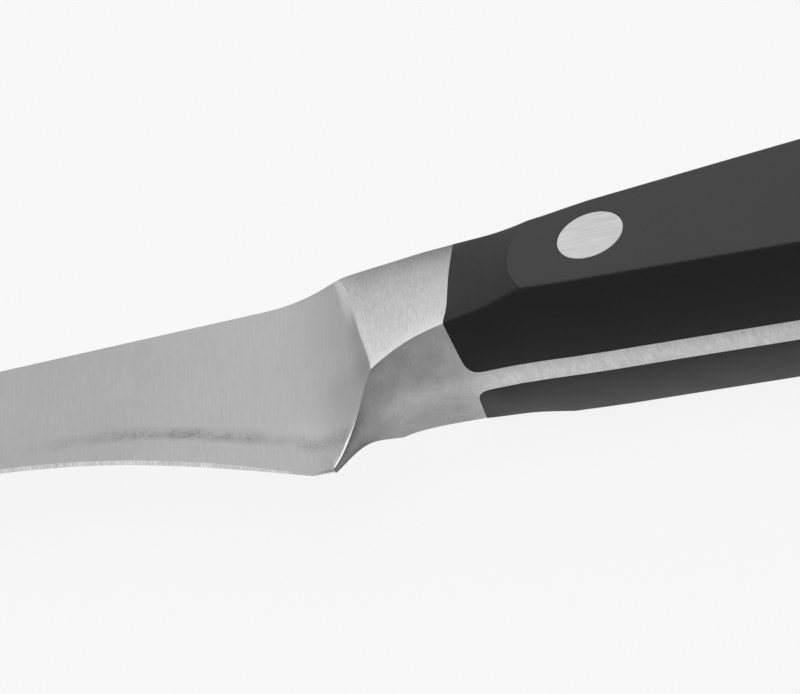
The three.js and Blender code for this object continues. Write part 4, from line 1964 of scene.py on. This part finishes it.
@dataclass
class Scale:
    """One handle scale."""

    grip: GripForm
    place: Place
    side: Side
    rivet_places: Sequence[float]
    gap: float = 0.04
    edge_radius: float = 0.28
    neck_radius: float = 0.12
    shoulder_radius: float = 0.25
    even_x: float = 12.6
    ramp_steps: int = 26
    flat_steps: int = 12
    handle_steps: int = 34
    butt_steps: int = 14
    head_radius: float = 3.54
    sleeve_radius: float = 2.34
    seat_height: float = 5.59
    hole_sides: int = 64
    sharp_angle: float = 32.0
    sideways: float = 0.8

    @property
    def name(self) -> str:
        """Name of the piece."""
        return f"{self.side.name.lower()}_handle_scale"

    def station(self, shoulder: float, flat: float, even: float) -> Station:
        """A line across the scale.

        Args:
            shoulder: share of the shoulder's line that it follows.
            flat: share of the line where the side flat begins that it follows.
            even: place that it has apart from those.

        Returns:
            The line.
        """
        grip = self.grip
        base = flat * grip.flat_setback + (1 - shoulder - flat) * even
        low_z = grip.flatten(base, grip.side(base))
        low_y = grip.under(base, low_z)
        high_y = grip.over(base, low_z)
        inner = grip.tang_half + self.gap

        def widen(share: float) -> tuple[float, float]:
            """Place and width on the underside or the back, from the tang outwards.

            Args:
                share: share of the way along it.

            Returns:
                The place and the width.
            """
            curved = grip.plan_width(share, self.gap)
            z = lerp(inner, low_z, (curved - inner) / (grip.neck_half - inner))
            return base + shoulder * grip.plan(curved, self.gap), z

        def under(share: float) -> Vector:
            """Underside from the tang to the corner."""
            x, z = widen(max(0.0, 2 * share - 1))
            return Vector((x, grip.under(x, z), z))

        def face(share: float) -> Vector:
            """Side face from the lower to the upper corner.

            Args:
                share: share of the way along it.

            Returns:
                The point.
            """
            y = lerp(low_y, high_y, share)
            x = base + shoulder * grip.rim(y, self.gap)
            x += flat * (grip.flat_start(y) - grip.flat_setback)
            return Vector((x, y, grip.ground(x, y)))

        def over(share: float) -> Vector:
            """Back from the corner to the tang."""
            x, z = widen(max(0.0, 1 - 2 * share))
            return Vector((x, grip.over(x, z), z))

        radius = lerp(self.edge_radius, self.neck_radius, shoulder)
        low_radius = lerp(radius, self.shoulder_radius, shoulder**RIM_POWER)
        return Station(under, face, over, low_radius, radius)

    def lines(self) -> list[list[Vector]]:
        """All lines of the left scale, from the shoulder to the butt.

        Returns:
            The lines.
        """
        grip = self.grip
        ramp = [math.sin(angle) for angle in divide(0.0, math.pi / 2, self.ramp_steps)]
        stations = [self.station(1 - share, share, 0.0) for share in ramp]
        rise = [1 - math.cos(angle) for angle in divide(0.0, math.pi / 2, self.flat_steps)]
        stations += [self.station(0.0, 1 - share, self.even_x) for share in rise[1:]]
        rest = divide(self.even_x, grip.length - grip.butt_back_radius, self.handle_steps)[1:]
        turn = divide(0.0, math.pi / 2, self.butt_steps)[1:]
        rest += [grip.length - grip.butt_back_radius * (1 - math.sin(angle)) for angle in turn]
        stations += [self.station(0.0, 0.0, x) for x in rest]
        outer = [station.points()[ROWS.chain[0] : ROWS.chain[-1] + 1] for station in stations]
        front = shoulder_face(grip, outer[0], range(len(ROWS.chain)), self.gap)
        inner = grip.tang_half + self.gap
        last = outer[-1]
        seats = divide(last[0].y, last[-1].y, len(last) - 1)
        rear = [Vector((grip.length, y, inner)) for y in seats]
        return [*reversed(front), *outer, rear]

    def build(self) -> Piece:
        """Build the scale and drill it for the rivets.

        Returns:
            The piece.
        """
        bm = skin(self.lines())
        close(bm)
        mirror = Matrix.Diagonal((1, 1, self.side.value, 1))
        bmesh.ops.transform(bm, matrix=mirror, verts=bm.verts)
        bmesh.ops.recalc_face_normals(bm, faces=bm.faces)
        piece = self.place.piece(self.name, bm)
        high = 2 * self.grip.side_half
        for radius, low in ((self.sleeve_radius, 0.0), (self.head_radius, self.seat_height)):
            bars = (bar(x, radius, low, high, self.hole_sides) for x in self.rivet_places)
            drill(piece, bars, self.place.matrix @ mirror)
        shade(piece, self.sharp_angle)
        return piece

    def dress(self, piece: Piece, materials: Sequence[Material]) -> None:
        """Give the scale its finishes: side flat, slope to the bolster, then chamfers and butt in painted
        shade.

        Args:
            piece: the scale.
            materials: materials of the finishes, in their order.
        """
        for material in materials:
            piece.data.materials.append(material)
        back = self.place.matrix.inverted()
        for polygon in piece.data.polygons:
            x, y, _ = back @ polygon.center
            finish = GROUND_POLYMER if x < self.grip.flat_start(y) else SATIN_POLYMER
            # Faces that turn away from the sides, chamfers and butt, take the painted-shade copy of the
            # satin
            if abs(polygon.normal.z) < self.sideways:
                finish = PAINTED_SHADE_POLYMER
            polygon.material_index = SCALE_FINISHES.index(finish)
        settle(piece, Slot.POLYMER, f"{self.side.name.lower()}_scale")


@dataclass
class Rivet:
    """A rivet in two halves: a solid post in the left scale and a hollow sleeve in the right."""

    grip: GripForm
    place: Place
    x: float
    number: int
    head_radius: float = 3.5
    head_height: float = 3.0
    post_radius: float = 1.45
    bore_radius: float = 1.49
    sleeve_radius: float = 2.3
    socket_floor: float = 1.0
    gap: float = 0.04
    edge: float = 0.05
    steps: int = 64
    sharp_angle: float = 40.0

    def turned(self, name: str, outline: Sequence[tuple[float, float]]) -> Piece:
        """Turn an outline round the rivet's axis.

        Args:
            name: name of the piece.
            outline: (radius, height) points that start and end on the axis.

        Returns:
            The piece.
        """
        bm = bmesh.new()
        verts = [bm.verts.new((self.x + radius, 0, z)) for radius, z in outline]
        edges = [bm.edges.new(pair) for pair in zip(verts, verts[1:])]
        bmesh.ops.spin(
            bm, geom=[*verts, *edges], cent=(self.x, 0, 0), axis=(0, 0, 1), angle=2 * math.pi,
            steps=self.steps, use_merge=True,
        )
        close(bm)
        # Points and faces come out in a new order each run, so they are put in one order
        arrange(bm.verts, lambda vert: vert.co[:])
        arrange(bm.faces, lambda face: sorted(vert.index for vert in face.verts))
        piece = self.place.piece(name, bm, turned=True)
        shade(piece, self.sharp_angle)
        return piece

    def build(self) -> list[Piece]:
        """Build post and sleeve, with the rims of their heads broken.

        Returns:
            The post and the sleeve.
        """
        top = self.grip.side_half
        head = self.head_radius
        under = top - self.head_height
        tip = self.socket_floor + self.gap - top
        rim = [(head, top - self.edge), (head - self.edge, top)]
        post = [(0, tip), (self.post_radius, tip), (self.post_radius, under), (head, under), *rim, (0, top)]
        lip = under - self.gap
        sleeve = [
            (0, -top), (head - self.edge, -top), (head, self.edge - top), (head, -under),
            (self.sleeve_radius, -under), (self.sleeve_radius, lip), (self.bore_radius, lip),
            (self.bore_radius, self.socket_floor - top), (0, self.socket_floor - top),
        ]
        return [
            self.turned(f"rivet_{self.number}_post", post),
            self.turned(f"rivet_{self.number}_sleeve", sleeve),
        ]

    def dress(self, halves: Sequence[Piece], steel: Material) -> None:
        """Give both halves their finish.

        Args:
            halves: post and sleeve.
            steel: their material.
        """
        for piece, half in zip(halves, ("post", "sleeve")):
            piece.data.materials.append(steel)
            settle(piece, Slot.RIVET_STEEL, f"rivet_{half}_{self.number}")


# Studio


@dataclass(frozen=True)
class Studio:
    """Camera, floor and soft light."""

    place: Place
    camera_place: tuple[float, float, float] = (115.14, -307.06, 245.97)
    camera_right: tuple[float, float, float] = (0.9326, 0.0940, -0.3484)
    camera_back: tuple[float, float, float] = (0.2981, -0.7447, 0.5971)
    focal_pixels: float = 4015.7
    image_width: int = 800
    sensor_width: float = 36.0
    floor_size: float = 12.0
    floor_colour: str = "f4f4f4"
    background: float = 0.955
    background_share: float = 0.92
    # Brightness of the sky, and how high its upper level and its ceiling lie
    horizon: float = 0.42
    upper: float = 1.02
    zenith: float = 1.9
    upper_height: float = 0.5
    ceiling_start: float = 0.68
    ceiling_end: float = 0.95
    bright_side: tuple[float, float, float] = (-0.6, 0.8, 0.0)
    bright_level: float = 1.25
    dark_level: float = 0.3

    def build_camera(self) -> None:
        """Set the camera at the photograph's angle."""
        data = bpy.data.cameras.new("camera")
        data.sensor_fit = "HORIZONTAL"
        data.sensor_width = self.sensor_width
        data.lens = self.focal_pixels * self.sensor_width / self.image_width
        data.clip_start = 0.01
        data.clip_end = 100.0
        back = Vector(self.camera_back).normalized()
        up = back.cross(Vector(self.camera_right)).normalized()
        right = up.cross(back)
        turn = Matrix((right, up, back)).transposed().to_4x4()
        camera = add_object("camera", data)
        camera.matrix_world = Matrix.Translation(self.place.point(*self.camera_place)) @ turn
        bpy.context.scene.camera = camera

    def build_floor(self) -> None:
        """Lay the pale floor that the knife rests on."""
        bm = bmesh.new()
        bmesh.ops.create_grid(bm, x_segments=1, y_segments=1, size=self.floor_size / 2)
        mesh = to_data("floor", bm)
        floor = add_object("floor", mesh)
        floor.location.z = CAD_BOX[0][2]
        material, tree = new_tree("pale_paper")
        path = tree.nodes.new("ShaderNodeLightPath").outputs
        seen = path["Is Camera Ray"]
        for ray in ("Is Glossy Ray", "Is Transmission Ray"):
            seen = add_node(tree, "ShaderNodeMath", {0: seen, 1: path[ray]}, operation="MAXIMUM")
        faded = {0: seen, 1: self.background_share}
        share = add_node(tree, "ShaderNodeMath", faded, operation="MULTIPLY")
        paper = add_node(tree, "ShaderNodeBsdfDiffuse", {"Color": (*linear(self.floor_colour), 1)})
        plain = add_node(tree, "ShaderNodeEmission", {"Strength": self.background})
        mix = add_node(tree, "ShaderNodeMixShader", {0: share, 1: paper, 2: plain})
        add_node(tree, "ShaderNodeOutputMaterial", {"Surface": mix})
        mesh.materials.append(material)

    def build_light(self) -> None:
        """Light the knife from a soft sky that is brightest overhead."""
        world = bpy.data.worlds.new("soft_sky")
        bpy.context.scene.world = world
        world.use_nodes = True
        tree = world.node_tree
        tree.nodes.clear()
        way = add_node(tree, "ShaderNodeTexCoord", out="Generated")
        up = add_node(tree, "ShaderNodeSeparateXYZ", {0: way}, out="Z")
        rise = {"From Max": self.upper_height, "To Min": self.horizon, "To Max": self.upper}
        crest = self.zenith - self.upper
        top = {"From Min": self.ceiling_start, "From Max": self.ceiling_end, "To Max": crest}
        levels = [
            add_node(tree, "ShaderNodeMapRange", {"Value": up, **ends}, interpolation_type="SMOOTHSTEP")
            for ends in (rise, top)
        ]
        level = add_node(tree, "ShaderNodeMath", dict(enumerate(levels)), operation="ADD")
        ways = {0: way, 1: self.bright_side}
        facing = add_node(tree, "ShaderNodeVectorMath", ways, operation="DOT_PRODUCT", out="Value")
        ends = {"From Min": -1.0, "To Min": self.dark_level, "To Max": self.bright_level}
        side = add_node(tree, "ShaderNodeMapRange", {"Value": facing, **ends})
        level = add_node(tree, "ShaderNodeMath", {0: level, 1: side}, operation="MULTIPLY")
        sky = add_node(tree, "ShaderNodeBackground", {"Strength": level})
        add_node(tree, "ShaderNodeOutputWorld", {"Surface": sky})
        bpy.context.scene.view_settings.view_transform = "Standard"


def main() -> None:
    """Build the studio and the knife, piece by piece."""
    logging.basicConfig(level=logging.INFO, format="%(name)s: %(message)s")
    grip = GripForm()
    blade = BladeForm()
    place = Place.from_frame(grip)
    studio = Studio(place)
    studio.build_camera()
    studio.build_floor()
    studio.build_light()
    rivet_places = divide(grip.rivet_front, grip.length - grip.rivet_rear, 2)
    forging = Forging(grip, blade, place, rivet_places=rivet_places)
    forging.dress(forging.build())
    polymer = [finish.material() for finish in SCALE_FINISHES]
    for side in Side:
        scale = Scale(grip, place, side, rivet_places)
        scale.dress(scale.build(), polymer)
    steel = RIVET_STEEL.material()
    for number, x in enumerate(rivet_places, start=1):
        rivet = Rivet(grip, place, x, number)
        rivet.dress(rivet.build(), steel)


if __name__ == "__main__":
    main()
